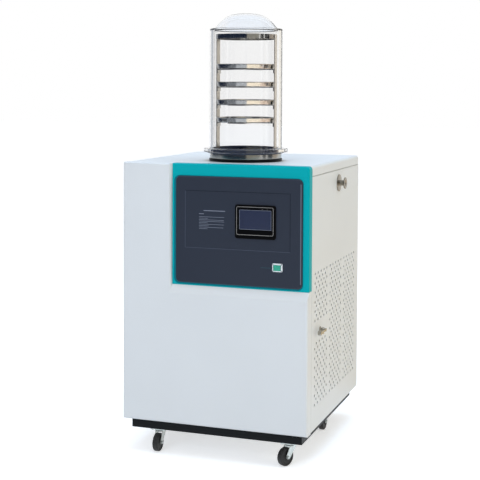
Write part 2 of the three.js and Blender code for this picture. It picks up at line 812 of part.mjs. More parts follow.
// A blown cap of even wall on a flat rim that is cemented to the tube. Its steep flank starts at the
// foot with a set slope and turns over into a nearly flat crown.
function makeDome() {
  const { rim, rise, wall, edge, pull, crown: flat } = dome;
  const foot = jar.outer - dome.shoulder;
  const bottom = jar.top + gap;
  const shoulder = bottom + rim;
  const slope = THREE.MathUtils.degToRad(dome.flank);
  const meridian = new THREE.CubicBezierCurve(
    new THREE.Vector2(foot, shoulder),
    new THREE.Vector2(foot - pull * Math.cos(slope), shoulder + pull * Math.sin(slope)),
    new THREE.Vector2(flat, shoulder + rise),
    new THREE.Vector2(0, shoulder + rise),
  );
  const steps = 6;
  const outside = meridian.getPoints(steps);
  const inside = outside.map(({ x, y }, k) => {
    const along = meridian.getTangent(k / steps);
    return [k < steps ? x - wall * along.y : 0, y + wall * along.x];
  });
  const ring = [
    [jar.outer - edge, shoulder],
    [jar.outer, shoulder - edge],
    [jar.outer, bottom],
    [inside[0][0], bottom],
  ];
  return revolve([...outside.map(({ x, y }) => [x, y]).reverse(), ...ring, ...inside], round.jar);
}

// Base ring, two posts and top ring of the tray rack, welded in one.
function makeRackFrame() {
  const { band, base: baseBand, bandHeight } = rack;
  const inner = rackOuter - band;
  const flat = sealBottom + post.thick;
  const ledge = revolve(
    [
      [inner, sealBottom],
      [rackLedge, sealBottom],
      [rackLedge, flat],
      [rackOuter, flat],
      [rackOuter, sealBottom + baseBand],
      [inner, sealBottom + baseBand],
    ],
    round.ring,
  );
  const crownRing = revolve(
    [
      [inner, rackTop - bandHeight],
      [rackOuter, rackTop - bandHeight],
      [rackOuter, rackTop],
      [inner, rackTop],
    ],
    round.ring,
  );
  const x = rackOuter - post.weld;
  const w = post.width / 2;
  const right = box(x, x + post.thick, -w, w, sealBottom + over, rackTop);
  return join(ledge, crownRing, right, right.mirror([1, 0, 0]));
}

// A flat cross of strip that bears one tray, with tabs bent down against the posts.
function makeShelf(i) {
  const top = trayLevel(i) - gap;
  const { thick, arm, foot, tab } = shelf;
  const reach = rackOuter - post.weld - gap;
  const depth = trayRadius - 3;
  const bar = box(-reach, reach, -arm / 2, arm / 2, top - thick, top);
  const cross = box(-foot / 2, foot / 2, -depth, depth, top - thick, top);
  const bent = box(reach - thick, reach, -arm / 2, arm / 2, top - tab, top);
  return join(bar, cross, bent, bent.mirror([1, 0, 0]));
}

// A pressed tray: its wall leans out a little, to a flat rim.
function makeTray(i) {
  const { height, wall, draft, rim } = trays;
  const z = trayLevel(i);
  const side = trayRadius - draft;
  return revolve(
    [
      [0, z],
      [side - draft, z],
      [side, z + height - rim],
      [trayRadius, z + height - rim],
      [trayRadius, z + height],
      [side - wall, z + height],
      [side - draft - wall, z + wall],
      [0, z + wall],
    ],
    round.tray,
  );
}

// ---------------------------------------------------------------- under the top cover

class Helix extends THREE.Curve {
  getPoint(t) {
    const a = Math.PI / 2 + 2 * Math.PI * coilTurns * t;
    const z = coilLow + (coilHigh - coilLow) * t;
    return new THREE.Vector3(coilRadius * Math.cos(a), coilRadius * Math.sin(a), z);
  }
}

function makeCoil() {
  const { tube: radius, facets, tail } = coil;
  const turned = tubeAlong(new Helix(), radius, coilTurns * facets, round.tiny);
  const down = rod(radius, coilBottom, coilLow + radius / 2, round.tiny);
  const out = alongY(rod(radius, coilRadius - radius / 2, foamOuter + tail, round.tiny));
  return join(turned, moved(down, 0, coilRadius, 0), moved(out, 0, 0, coilHigh));
}

// Foam round the trap and coil, bored where the drain, the vacuum line and the coil's ends pass.
function makeFoam() {
  const bottom = -trap.depth - foam.floor;
  const floor = -trap.depth - gap;
  const top = -sheet - gap;
  const cup = revolve(
    [
      [0, bottom],
      [foamOuter, bottom],
      [foamOuter, top],
      [foamInner, top],
      [foamInner, floor],
      [0, floor],
    ],
    round.tray,
  );
  const down = (radius, sides) => rod(radius, bottom - over, floor + over, sides);
  const through = (radius, sides) => rod(radius, foamInner - radius, foamOuter + radius, sides);
  return cut(
    cup,
    down(drain.radius + gap, round.small),
    moved(down(coil.tube + 1, round.tiny), 0, coilRadius, 0),
    moved(alongX(through(port.neck + gap, round.small)), 0, 0, -port.drop),
    moved(alongY(through(coil.tube + 1, round.tiny)), 0, 0, coilHigh),
  );
}

// ---------------------------------------------------------------- services inside the cabinet

// A hermetic shell, its lower half drawn into its upper half, on a foot plate with four rubber mounts.
function makeCompressor() {
  const { radius, height, lift, stub, crown: lid } = compressor;
  const { width, depth, thick, corner, mount, inset, height: mountHeight } = compressorFoot;
  const z = panFloor;
  const shell = revolve(
    [
      [0, z + lift - 6],
      [radius * 0.6, z + lift],
      [radius, z + lift + 34],
      [radius, z + height * 0.62],
      [radius * 0.93, z + height * 0.82],
      [radius * 0.62, z + height - lid],
      [0, z + height],
    ],
    round.drum,
  );
  const w = width / 2;
  const d = depth / 2;
  const foot = extrude(roundedRect(-w, w, -d, d, allCorners(corner), 2), "up", z + mountHeight, thick);
  const mounts = [-1, 1].flatMap((sx) =>
    [-1, 1].map((sy) => {
      const bush = rod(mount, z, z + mountHeight + over, round.tiny);
      return moved(bush, sx * (w - inset), sy * (d - inset), 0);
    }),
  );
  const stubFrom = z + height * 0.6;
  const suction = moved(rod(8, stubFrom, compressorTop, round.tiny), radius * stub, 0, 0);
  const discharge = moved(rod(6, stubFrom, compressorTop, round.tiny), 0, -radius * stub, 0);
  return join(shell, foot, ...mounts, suction, discharge);
}

function makeCondenser() {
  const { thick, width, height } = condenser;
  const { count, depth, margin, endMargin, foot, footInset } = fins;
  const x = thick / 2;
  const w = width / 2;
  const h = height / 2;
  const core = box(-x, x, -w, w, -h, h);
  const pitch = (width - 2 * margin) / count;
  const grooves = Array.from({ length: count }, (_, i) => {
    const y = -w + margin + (i + 0.5) * pitch;
    return box(x - depth, x + over, y - pitch * 0.3, y + pitch * 0.3, -h + endMargin, h - endMargin);
  });
  const bottom = -condenser.z + panFloor;
  const rightFoot = box(-x + footInset, x - footInset, w - foot, w, bottom, -h + over);
  return join(cut(core, ...grooves), rightFoot, rightFoot.mirror([0, 1, 0]));
}

function makeShroud() {
  const { width, height } = condenser;
  const collar = 3;
  const back = box(shroudFace - sheet, shroudFace, -width / 2, width / 2, -height / 2, height / 2);
  const front = shroudFace - fan.shroud;
  const ring = alongX(rod(fanRing + collar, front, shroudFace - over, round.ring));
  const hole = alongX(rod(fanRing, front - over, shroudFace + over, round.ring));
  return cut(join(back, ring), hole);
}

// The fan motor on a three-armed bracket that bolts to the shroud.
function makeMotor() {
  const { radius, length, shaft, arm, armThick } = motor;
  const can = alongX(rod(radius, motorFace - length, motorFace, round.wheel));
  const spindle = alongX(rod(shaft, motorFace - over, motorFace + fan.hub + 2, round.tiny));
  const outer = fanRing + 12;
  const w = arm / 2;
  const back = motorFace - armThick - over;
  const spoke = join(
    box(back, motorFace - over, -w, w, radius - 2, outer),
    box(back, shroudFace - sheet - gap, -w, w, outer - armThick, outer),
  );
  const arms = [0, 120, 240].map((angle) => spoke.rotate([angle, 0, 0]));
  return join(can, spindle, ...arms);
}

// Pitched blades round a hub that sits on the motor's shaft.
function makeImpeller() {
  const { radius, blades, blade, pitch, hub: hubRadius } = fan;
  const x0 = motorFace + 2 * gap + over;
  const x1 = motorFace + 2 * gap + fan.hub;
  const bore = rod(boreAround(motor.shaft, round.small), x0 - over, x1 + over, round.small);
  const hub = alongX(cut(rod(hubRadius, x0, x1, round.small), bore));
  const shape = outline([
    [-14, hubRadius - 3],
    [14, hubRadius - 3],
    [30, radius * 0.7],
    [26, radius - 2],
    [-26, radius - 2],
    [-30, radius * 0.7],
  ]);
  const flat = extrude(shape, "right", -blade / 2, blade).rotate([0, 0, pitch]);
  const pitched = moved(flat, (x0 + x1) / 2, 0, 0);
  const turns = Array.from({ length: blades }, (_, k) => pitched.rotate([(360 / blades) * k, 0, 0]));
  return join(hub, ...turns);
}

// A folded enclosure that closes the back of the control area, clear of the trap's foam and an upright.
function makeEnclosure() {
  const { clearance, wall, headroom } = enclosure;
  const { left, bottom } = surroundBox;
  const right = uprightCorner.x - upright.leg - clearance;
  const front = frontBack + gap;
  const rearSide = chamberAt.y - foamOuter - clearance;
  const top = casing.height - cover.skirt - headroom;
  return cut(
    box(left, right, front, rearSide, bottom, top),
    box(left + wall, right - wall, front - over, rearSide - wall, bottom + wall, top - wall),
  );
}

function makePort() {
  const { disc, discThick, neck, bore, flange, reach } = port;
  const turned = revolve(
    [
      [bore, -portInside],
      [neck, -portInside],
      [neck, gap],
      [disc - 1, gap],
      [disc, gap + 1],
      [disc, gap + discThick],
      [neck, gap + discThick + 1],
      [neck, reach - 7],
      [flange, reach - 3],
      [flange, reach],
      [bore + 3, reach],
      [bore, reach - 4],
    ],
    round.tray,
  );
  return moved(alongX(turned), half.x, portAt.y, portAt.z);
}

function makeVacuumPipe() {
  const startX = chamberAt.x + trapOuter + gap;
  const endX = half.x - portInside - gap;
  const turnX = (chamberAt.x + foamOuter + endX) / 2; // midway between the foam and the port
  return tube(
    [
      [startX, chamberAt.y, portAt.z],
      [turnX, chamberAt.y, portAt.z],
      [turnX, portAt.y, portAt.z],
      [endX, portAt.y, portAt.z],
    ],
    28,
    port.neck,
    14,
    round.small,
  );
}

// The drain valve: a nut on the panel, a ball body with a short outlet below, and a stem outwards.
function makeValve() {
  const { ball, throat, nut, nutThick, stem } = valve;
  const nutPiece = alongX(rod(nut, gap, gap + nutThick, 6));
  const barrel = alongX(rod(throat, -valveInside, valveCentre, round.small));
  const body = solidOf(new THREE.SphereGeometry(ball, 10, 6)).rotate([0, 90, 0]);
  const spout = rod(outlet.radius, -outlet.drop, 0, round.small);
  const stemPiece = alongX(rod(stem, valveCentre, leverEnd + gap, round.tiny));
  const bore = rod(outlet.bore, -outlet.drop - over, 0, round.tiny);
  const hanging = [body, spout].map((solid) => moved(solid, valveCentre, 0, 0));
  const whole = cut(join(nutPiece, barrel, ...hanging, stemPiece), moved(bore, valveCentre, 0, 0));
  return moved(whole, half.x, valveAt.y, valveAt.z);
}

// The lever turns on the valve's stem; its arm ends in a round grip that points back to the panel.
function makeValveLever() {
  const { reach, hub, width, grip, gripLength } = lever;
  const bore = rod(boreAround(valve.stem, round.tiny), leverStart - over, leverEnd + over, round.tiny);
  const eye = alongX(rod(hub, leverStart, leverEnd, round.small));
  const strap = box(leverStart, leverEnd, -reach, 0, -width / 2, width / 2);
  const knob = moved(alongX(rod(grip, leverEnd - gripLength, leverEnd, round.small)), 0, -reach, 0);
  return moved(join(cut(join(eye, strap), alongX(bore)), knob), half.x, valveAt.y, valveAt.z);
}

function makeDrainPipe() {
  const endX = half.x - valveInside - gap;
  return tube(
    [
      [chamberAt.x, chamberAt.y, casing.height + drainBottom - gap],
      [chamberAt.x, chamberAt.y, valveAt.z + 140],
      [endX - 70, valveAt.y, valveAt.z],
      [endX, valveAt.y, valveAt.z],
    ],
    40,
    drain.radius,
    12,
  );
}

// Copper lines: suction from the coil's low end, and discharge to the condenser's top.
function makeSuctionPipe() {
  const y = chamberAt.y + coilRadius;
  const endX = compressor.x + compressor.radius * compressor.stub;
  return tube(
    [
      [chamberAt.x, y, casing.height + coilBottom - gap],
      [chamberAt.x, y, compressorTop + 160],
      [endX, compressor.y, compressorTop + 100],
      [endX, compressor.y, compressorTop + gap],
    ],
    45,
    7,
    12,
  );
}

function makeDischargePipe() {
  const y = compressor.y - compressor.radius * compressor.stub;
  const endY = condenser.y - condenser.width / 2 + fins.foot;
  const endZ = condenser.z + condenser.height / 2 + gap;
  return tube(
    [
      [compressor.x, y, compressorTop + gap],
      [compressor.x, y, compressorTop + 90],
      [condenserX, endY, endZ + 70],
      [condenserX, endY, endZ],
    ],
    45,
    5,
    12,
  );
}

// ---------------------------------------------------------------- assembly

const cabinet = new THREE.Group();
cabinet.position.z = casingBottom;
dryer.add(cabinet);

addPiece(cabinet, "base_frame", makeBaseFrame(), "blackPaint");
addPiece(cabinet, "base_pan", makeBasePan(), "zinc");
addPiece(cabinet, "front_panel", makeFrontPanel(), "frontPaint");
addPiece(cabinet, "control_surround", makeSurround(), "tealPaint");
addPiece(cabinet, "control_plate", makeControlPlate(), "plateGrey");
addPiece(cabinet, "touch_screen", makeScreen(), "blackPlastic");
addPiece(cabinet, "screen_glass", makeScreenGlass(), "screenGlass");
addPiece(cabinet, "power_switch_frame", makeSwitchFrame(), "whitePlastic");
addPiece(cabinet, "top_cover", makeTopCover(), "frontPaint");
addPiece(cabinet, "right_side_panel", makeRightSide(), "casingPaint");
addPiece(cabinet, "left_side_panel", makeLeftSide(), "casingPaint");
addPiece(cabinet, "rear_panel", makeRearPanel(), "casingPaint");
addPiece(cabinet, "power_inlet", makeInlet(), "blackPlastic");
addPiece(cabinet, "vacuum_port", makePort(), "steel");
addPiece(cabinet, "vacuum_pipe", makeVacuumPipe(), "rubber");
addPiece(cabinet, "drain_valve", makeValve(), "zinc");
addPiece(cabinet, "drain_valve_lever", makeValveLever(), "zinc");
addPiece(cabinet, "drain_pipe", makeDrainPipe(), "rubber");
addPiece(cabinet, "compressor", makeCompressor(), "blackPaint").position.set(compressor.x, compressor.y, 0);
addPiece(cabinet, "suction_pipe", makeSuctionPipe(), "copper");
addPiece(cabinet, "discharge_pipe", makeDischargePipe(), "copper");
addPiece(cabinet, "control_enclosure", makeEnclosure(), "zinc");

const rocker = addPiece(cabinet, "power_rocker", makeRocker(), "greenPlastic");
rocker.position.set(powerAt.x, plateFace - gap + power.proud, powerAt.z);

for (const [place, [x, y, turn]] of Object.entries(uprightPlaces())) {
  const piece = addPiece(cabinet, `upright_${place}`, makeUpright(), "zinc");
  piece.position.set(x, y, 0);
  piece.rotation.z = THREE.MathUtils.degToRad(turn);
}

const cooling = new THREE.Group();
cooling.position.set(condenserX, condenser.y, condenser.z);
cabinet.add(cooling);
addPiece(cooling, "condenser", makeCondenser(), "zinc");
addPiece(cooling, "fan_shroud", makeShroud(), "blackPaint");
addPiece(cooling, "fan_motor", makeMotor(), "blackPaint");
addPiece(cooling, "fan_impeller", makeImpeller(), "zinc");

const dryingChamber = new THREE.Group();
dryingChamber.position.set(chamberAt.x, chamberAt.y, casing.height);
cabinet.add(dryingChamber);
addPiece(dryingChamber, "deck_gasket", makeDeckGasket(), "rubber");
addPiece(dryingChamber, "cold_trap", makeTrap(), "steel");
addPiece(dryingChamber, "evaporator_coil", makeCoil(), "copper");
addPiece(dryingChamber, "trap_insulation", makeFoam(), "foam");
addPiece(dryingChamber, "jar_seal", makeSeal(), "rubber");
addPiece(dryingChamber, "bell_jar", makeJar(), "acrylic");
addPiece(dryingChamber, "jar_dome", makeDome(), "acrylic");
addPiece(dryingChamber, "rack_frame", makeRackFrame(), "steel");
for (let i = 0; i < trays.count; i++) {
  addPiece(dryingChamber, `rack_shelf_${i + 1}`, makeShelf(i), "steel");
  addPiece(dryingChamber, `tray_${i + 1}`, makeTray(i), "steel");
}

for (const [place, [x, y]] of Object.entries(casterAt)) {
  const unit = new THREE.Group();
  unit.position.set(x, y, 0);
  dryer.add(unit);
  addPiece(unit, `caster_plate_${place}`, makeCasterPlate(), "zinc");
  const swivel = new THREE.Group();
  swivel.rotation.z = THREE.MathUtils.degToRad(casterTurn[place]);
  unit.add(swivel);
  addPiece(swivel, `caster_fork_${place}`, makeFork(), "zinc");
  addPiece(swivel, `caster_wheel_${place}`, makeWheel(), "rubber");
}

export default dryer;
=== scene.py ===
# %% [markdown]
# # A laboratory freeze dryer
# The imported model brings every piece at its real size. This script adds what it leaves plain: rounded
# folds, round punched holes, clear acrylic, brushed steel and powder coat. The first cell loads that
# frame, and every later place is read from the boxes of its nodes, in millimetres.

# %% Load the frame
import bpy
import bmesh
import json
import math
from mathutils import Matrix, Vector


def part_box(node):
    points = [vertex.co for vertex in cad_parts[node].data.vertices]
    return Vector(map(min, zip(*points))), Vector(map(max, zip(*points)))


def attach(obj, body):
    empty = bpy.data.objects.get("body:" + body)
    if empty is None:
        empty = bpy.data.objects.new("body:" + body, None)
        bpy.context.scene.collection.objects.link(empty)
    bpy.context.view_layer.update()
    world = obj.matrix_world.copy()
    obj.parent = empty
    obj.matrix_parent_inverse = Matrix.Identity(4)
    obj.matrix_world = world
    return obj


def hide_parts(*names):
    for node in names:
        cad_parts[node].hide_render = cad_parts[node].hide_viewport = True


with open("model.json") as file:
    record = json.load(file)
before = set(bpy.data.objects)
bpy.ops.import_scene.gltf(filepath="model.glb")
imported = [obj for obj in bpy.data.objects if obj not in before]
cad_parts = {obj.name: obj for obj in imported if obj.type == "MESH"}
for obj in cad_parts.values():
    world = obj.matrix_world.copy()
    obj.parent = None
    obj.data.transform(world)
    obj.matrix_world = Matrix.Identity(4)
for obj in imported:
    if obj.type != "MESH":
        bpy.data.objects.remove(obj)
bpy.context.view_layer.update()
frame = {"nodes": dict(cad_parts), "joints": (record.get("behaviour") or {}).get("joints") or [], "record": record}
MM = 0.001


def box_mm(node):
    """Lowest and highest corner of a node of the frame, in millimetres."""
    low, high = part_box(node)
    return low / MM, high / MM


def front_area(low, high):
    """A box seen from the front, as (left, right, bottom, top)."""
    return low.x, high.x, low.z, high.z


# %% [markdown]
# ## The camera
# A long lens stands back to the right of the machine at chest height, turned in by 19 degrees. It
# comes first, because everything after it is judged through it. It is held almost level, and the lens
# is shifted instead of tilted, so that upright edges stay parallel as in a picture of a building.

# %% Camera
scene = bpy.context.scene
camera_data = bpy.data.cameras.new("camera")
camera_data.sensor_width = 36
camera_data.lens = 86.2
camera_data.shift_x = 0.014
camera_data.shift_y = -0.2375
camera = bpy.data.objects.new("camera", camera_data)
scene.collection.objects.link(camera)
scene.camera = camera
turn, tilt, roll = (math.radians(a) for a in (19.466, 2.0, 0.249))
camera.matrix_world = (
    Matrix.Translation((1.2837, -3.8134, 1.221))
    @ Matrix.Rotation(turn, 4, "Z")
    @ Matrix.Rotation(math.pi / 2 - tilt, 4, "X")
    @ Matrix.Rotation(roll, 4, "Z")
)
scene.view_settings.view_transform = "Standard"

# %% [markdown]
# ## Finishes
# Each material starts from what the real surface is. Colours are written as sRGB hex values and turned
# to linear in one place. One small function adds a node, sets its inputs and links it.

# %% Colour and node helpers


def srgb(hex_value):
    """An sRGB hex colour as a linear RGBA tuple."""
    parts = [int(hex_value[i : i + 2], 16) / 255 for i in (1, 3, 5)]
    return tuple(p / 12.92 if p <= 0.04045 else ((p + 0.055) / 1.055) ** 2.4 for p in parts) + (1,)


def add(tree, kind, inputs=(), **settings):
    """A node with its settings, and each input set or linked."""
    node = tree.nodes.new(kind)
    for key, value in settings.items():
        setattr(node, key, value)
    for key, value in dict(inputs).items():
        if isinstance(value, bpy.types.NodeSocket):
            tree.links.new(value, node.inputs[key])
        else:
            node.inputs[key].default_value = value
    return node


def per_mm(size):
    """The texture scale at which one feature measures this many millimetres."""
    return 1 / (size * MM)


def new_material(name, **shader_inputs):
    """A material with its Principled shader's plain inputs set; returns it, its tree and shader."""
    material = bpy.data.materials.new(name)
    material.use_nodes = True
    tree = material.node_tree
    shader = tree.nodes["Principled BSDF"]
    for key, value in shader_inputs.items():
        shader.inputs[key.replace("_", " ")].default_value = value
    return material, tree, shader


def place_coordinates(tree, stretch=(1, 1, 1)):
    """Coordinates fixed to the piece, in metres, stretched along its axes."""
    settings = {"Vector": add(tree, "ShaderNodeTexCoord").outputs["Object"], "Scale": stretch}
    return add(tree, "ShaderNodeMapping", settings).outputs["Vector"]


def noise(tree, place, size_mm, detail):
    """The factor of a noise whose features measure about this many millimetres."""
    settings = {"Vector": place, "Scale": per_mm(size_mm), "Detail": detail}
    return add(tree, "ShaderNodeTexNoise", settings).outputs["Fac"]


def tint(tree, shader, factor, light, dark):
    """Colours the shader between two hex values, by a factor."""
    mix = add(tree, "ShaderNodeMix", {"Factor": factor}, data_type="RGBA")
    mix.inputs[6].default_value = srgb(light)
    mix.inputs[7].default_value = srgb(dark)
    tree.links.new(mix.outputs[2], shader.inputs["Base Color"])


def bump(tree, shader, height, strength, depth_mm=0.1):
    """Raises the surface by a height factor."""
    settings = {"Height": height, "Strength": strength, "Distance": depth_mm * MM}
    relief = add(tree, "ShaderNodeBump", settings)
    tree.links.new(relief.outputs["Normal"], shader.inputs["Normal"])


# %% [markdown]
# ### Powder coat
# The casing is folded sheet steel with a baked polyester powder coat. The powder melts into a film
# with a faint orange peel, about 2 mm from crest to crest, and a satin gloss. A slow drift of tone,
# under three per cent, keeps a large panel from looking like one flat fill.

# %% Powder-coated steel


def powder_coat(name, light, dark, roughness=0.42, peel_mm=2.2, specular=0.3):
    material, tree, shader = new_material(name, Roughness=roughness, Specular_IOR_Level=specular)
    place = place_coordinates(tree)
    tint(tree, shader, noise(tree, place, 260, 2), light, dark)
    bump(tree, shader, noise(tree, place, peel_mm, 3), 0.05, 0.2)
    return material


white_coat = powder_coat("powder_coat_white", "#DEDEDC", "#D8D8D6")
teal_coat = powder_coat("powder_coat_teal", "#00A7AC", "#00A0A5", specular=0.08)
slate_coat = powder_coat("powder_coat_slate", "#2E333F", "#2A303C", peel_mm=1.2)
black_coat = powder_coat("powder_coat_black", "#191B1C", "#131516", 0.45, specular=0.12)
enamel_black = powder_coat("compressor_enamel_black", "#1B1C1E", "#121314", 0.3)

# %% [markdown]
# ### Bare metals
# The collar, rack and trays are stainless steel with a fine ground grain; the flange on the side is
# cast and duller. The valve is chromed brass, castors are bright zinc, the sheet inside is galvanised.
# Each is fully metallic, and its roughness follows the scratches that the grinding belt left, drawn as
# noise stretched along the belt's path.

# %% Brushed and plated metals
ROUND_THE_AXIS, UPRIGHT, EVEN = (1, 1, 12), (12, 12, 1), (1, 1, 1)


def ground_metal(name, light, dark, roughness, grain=ROUND_THE_AXIS, grain_mm=7.0, depth=0.06):
    material, tree, shader = new_material(name, Metallic=1.0)
    scratches = noise(tree, place_coordinates(tree, grain), grain_mm, 4)
    tint(tree, shader, scratches, light, dark)
    settings = {"Value": scratches, "To Min": roughness - 0.06, "To Max": roughness + 0.08}
    spread = add(tree, "ShaderNodeMapRange", settings)
    tree.links.new(spread.outputs["Result"], shader.inputs["Roughness"])
    bump(tree, shader, scratches, depth)
    return material


stainless = ground_metal("stainless_steel_ground", "#C9C5BD", "#A9A59D", 0.18)
tray_steel = ground_metal("stainless_steel_tray", "#CFCECB", "#B4B3B1", 0.1)
flange_steel = ground_metal("stainless_steel_cast", "#96928A", "#77736B", 0.16, EVEN, 4.0)
strip_steel = ground_metal("stainless_steel_strip", "#DDD9D2", "#C6C1B9", 0.3, UPRIGHT)
chrome = ground_metal("chromed_brass", "#BAB7AE", "#95928A", 0.16, EVEN, 5.0, 0.02)
zinc = ground_metal("zinc_plated_steel", "#D5D9D6", "#B4BAB6", 0.3, EVEN, 4.0)
galvanised = ground_metal("galvanised_sheet", "#B9BDBF", "#9DA2A5", 0.42, EVEN, 14.0)
copper = ground_metal("copper_tube", "#C98257", "#A9623C", 0.28, EVEN, 5.0)
fin_stock = ground_metal("aluminium_fin_stock", "#C4C7C9", "#A5A9AC", 0.35, (1, 1, 20), 3.0)

# %% [markdown]
# ### Rubbers and plastics
# The gasket on the cover is black EPDM and the jar's seal is dark grey silicone, both smooth from the
# mould; castor tyres are duller. The screen housing and the switch frame are moulded ABS, and the rocker
# is green polycarbonate with a gloss. The thin lines on the control plate are print; the strips along its
# sunk field and right rim are painted shade and painted highlight, the teal ring round it is painted
# shadow, and the dark ring under the dome is painted shade.

# %% Rubbers and plastics


def moulded(name, light, dark, roughness, texture_mm=1.5, depth=0.05, specular=0.5, **more):
    material, tree, shader = new_material(
        name, Roughness=roughness, Specular_IOR_Level=specular, **more
    )
    grain = noise(tree, place_coordinates(tree), texture_mm, 2)
    tint(tree, shader, grain, light, dark)
    bump(tree, shader, grain, depth)
    return material


epdm = moulded("epdm_rubber", "#0B0D11", "#07080B", 0.4, specular=0.15)
silicone = moulded("silicone_rubber_grey", "#485167", "#3F485D", 0.35)
tyre = moulded("castor_tyre_rubber", "#1D1D1C", "#121211", 0.55)
hose = moulded("vacuum_hose_rubber", "#26211F", "#1B1715", 0.6)
abs_black = moulded("abs_black_satin", "#050507", "#030304", 0.4, specular=0.1)
abs_white = moulded("abs_white", "#E4E8E8", "#DADEDE", 0.3)
silver_trim = moulded("abs_silver_trim", "#B3AFA9", "#98948E", 0.35, Metallic=0.6)
rocker_green = moulded("polycarbonate_green", "#1AA587", "#15987A", 0.25, Coat_Weight=0.5)
print_grey = moulded("screen_print_grey", "#7D828F", "#6F7481", 0.5)
print_teal = moulded("screen_print_teal", "#24525C", "#1F4952", 0.5)
# Painted shade and painted highlight for the edges of the plate's sunk field.
field_painted_shade = moulded("slate_painted_shade", "#181C26", "#141821", 0.5, specular=0.2)
field_painted_highlight = moulded("slate_painted_highlight", "#4B515F", "#454B59", 0.5, specular=0.2)
# A painted highlight for the plate's right rim.
rim_painted_highlight = moulded("slate_rim_painted_highlight", "#6B727E", "#646B77", 0.5, specular=0.2)
# Painted shadow: the dark teal ring that stands for the shade round the raised plate.
teal_painted_shadow = moulded("teal_painted_shadow_ring", "#0A737E", "#096A75", 0.8, specular=0.1)
# Painted shade: a dark ring that stands for the line refraction draws at the dome's foot.
dome_foot_shade = moulded("acrylic_foot_painted_shade", "#2C3242", "#252A38", 0.4)
insulation = moulded("elastomeric_foam", "#232325", "#18181A", 0.95, 3.0, 0.6)

# %% [markdown]
# ### Display glass
# The panel is off: a dark blue-grey liquid crystal layer under a clear glossy cover. A sideways drift
# of tone, with a soft cloud in it, is a painted sheen: it stands for the faint reflection on its polarising film.

# %% Display


def display_glass():
    material, tree, shader = new_material("display_glass", Roughness=0.18, Coat_Weight=1.0)
    shader.inputs["Coat Roughness"].default_value = 0.03
    place = place_coordinates(tree, (per_mm(160), 1, per_mm(100)))
    # The gradient and the cloud are a painted sheen on the dark display.
    sheen = add(tree, "ShaderNodeTexGradient", {"Vector": place}, gradient_type="LINEAR")
    cloud = add(tree, "ShaderNodeTexNoise", {"Vector": place, "Scale": 1.3, "Detail": 1})
    painted_sheen = add(tree, "ShaderNodeMath", {0: sheen.outputs["Fac"], 1: cloud.outputs["Fac"]})
    tint(tree, shader, painted_sheen.outputs[0], "#181C30", "#2A3046")
    return material


display = display_glass()

# %% [markdown]
# ### Clear acrylic
# The jar is cast acrylic tube, 10 mm thick, with a blown dome. Acrylic bends light a little less than
# glass (IOR 1.49) and is almost colourless. Its thick wall is what shows: it gathers light into bright
# upright bands at both sides.

# %% Acrylic


def clear_acrylic(name, colour):
    material, tree, shader = new_material(name, Roughness=0.015, IOR=1.49, Transmission_Weight=1.0)
    shader.inputs["Base Color"].default_value = srgb(colour)
    bump(tree, shader, noise(tree, place_coordinates(tree, (1, 1, 0.06)), 18, 1), 0.03, 1.0)
    return material


tube_acrylic = clear_acrylic("cast_acrylic_clear", "#FFFFFF")
dome_acrylic = clear_acrylic("blown_acrylic_clear", "#F7FAFE")
print(len(bpy.data.materials), "materials")

# %% [markdown]
# ## Making pieces
# Three ways of making cover nearly all of the machine, as they do in the workshop: turning a profile
# on an axis, extruding an outline, and moulding, which joins outlines one behind the other. The helpers
# below are those three and what rounds, joins and places the results. Folded sheet comes further down.

# %% Shape helpers
TOUCH = 1e-3  # millimetres


def same(a, b):
    return abs(a - b) < TOUCH


def fillet(points, steps=5):
    """Points (u, v, radius): each corner with a radius becomes an arc."""
    rounded = []
    for i, (u, v, radius) in enumerate(points):
        corner = Vector((u, v))
        if not radius:
            rounded.append((u, v))
            continue
        before = (Vector(points[i - 1][:2]) - corner).normalized()
        after = (Vector(points[(i + 1) % len(points)][:2]) - corner).normalized()
        half = before.angle(after) / 2
        centre = corner + (before + after).normalized() * (radius / math.sin(half))
        start = corner + before * (radius / math.tan(half)) - centre
        end = corner + after * (radius / math.tan(half)) - centre
        for k in range(steps + 1):
            spoke = centre + start.slerp(end, k / steps).normalized() * radius
            rounded.append((spoke.x, spoke.y))
    return rounded


def rectangle(u0, u1, v0, v1, radius, steps=5):
    """A rectangle's outline, its corners rounded alike."""
    return fillet([(u0, v0, radius), (u1, v0, radius), (u1, v1, radius), (u0, v1, radius)], steps)


def turned(profile, segments=96):
    """A closed (radius, height) profile in millimetres, turned round Z."""
    bm = bmesh.new()
    angles = [2 * math.pi * k / segments for k in range(segments)]
    rings = []
    for radius, height in profile:
        if radius < 1e-6:
            rings.append([bm.verts.new((0, 0, height))] * segments)
        else:
            points = [(radius * math.cos(a), radius * math.sin(a), height) for a in angles]
            rings.append([bm.verts.new(point) for point in points])
    for low, high in zip(rings, rings[1:] + rings[:1]):
        for k in range(segments):
            ring = [low[k], low[k - 1], high[k - 1], high[k]]
            face = [v for i, v in enumerate(ring) if v not in ring[:i]]
            if len(face) > 2:
                bm.faces.new(face)
    bmesh.ops.recalc_face_normals(bm, faces=bm.faces)
    return bm


def washer(inner, outer, low, high, rounds=(0, 0, 0, 0), segments=96, steps=5):
    """A turned ring, or a disc without a bore; rounds go from its inner low corner to the inner high."""
    ends = ((inner, low), (outer, low), (outer, high), (inner, high))
    profile = [(*end, radius) for end, radius in zip(ends, rounds)]
    return turned(fillet(profile, steps), segments)


def along_front(u, v, w):
    """Outline in X and Z, depth in Y."""
    return (u, w, v)


def along_side(u, v, w):
    """Outline in Y and Z, depth in X."""
    return (w, u, v)


def along_up(u, v, w):
    """Outline in X and Y, height in Z."""
    return (u, v, w)


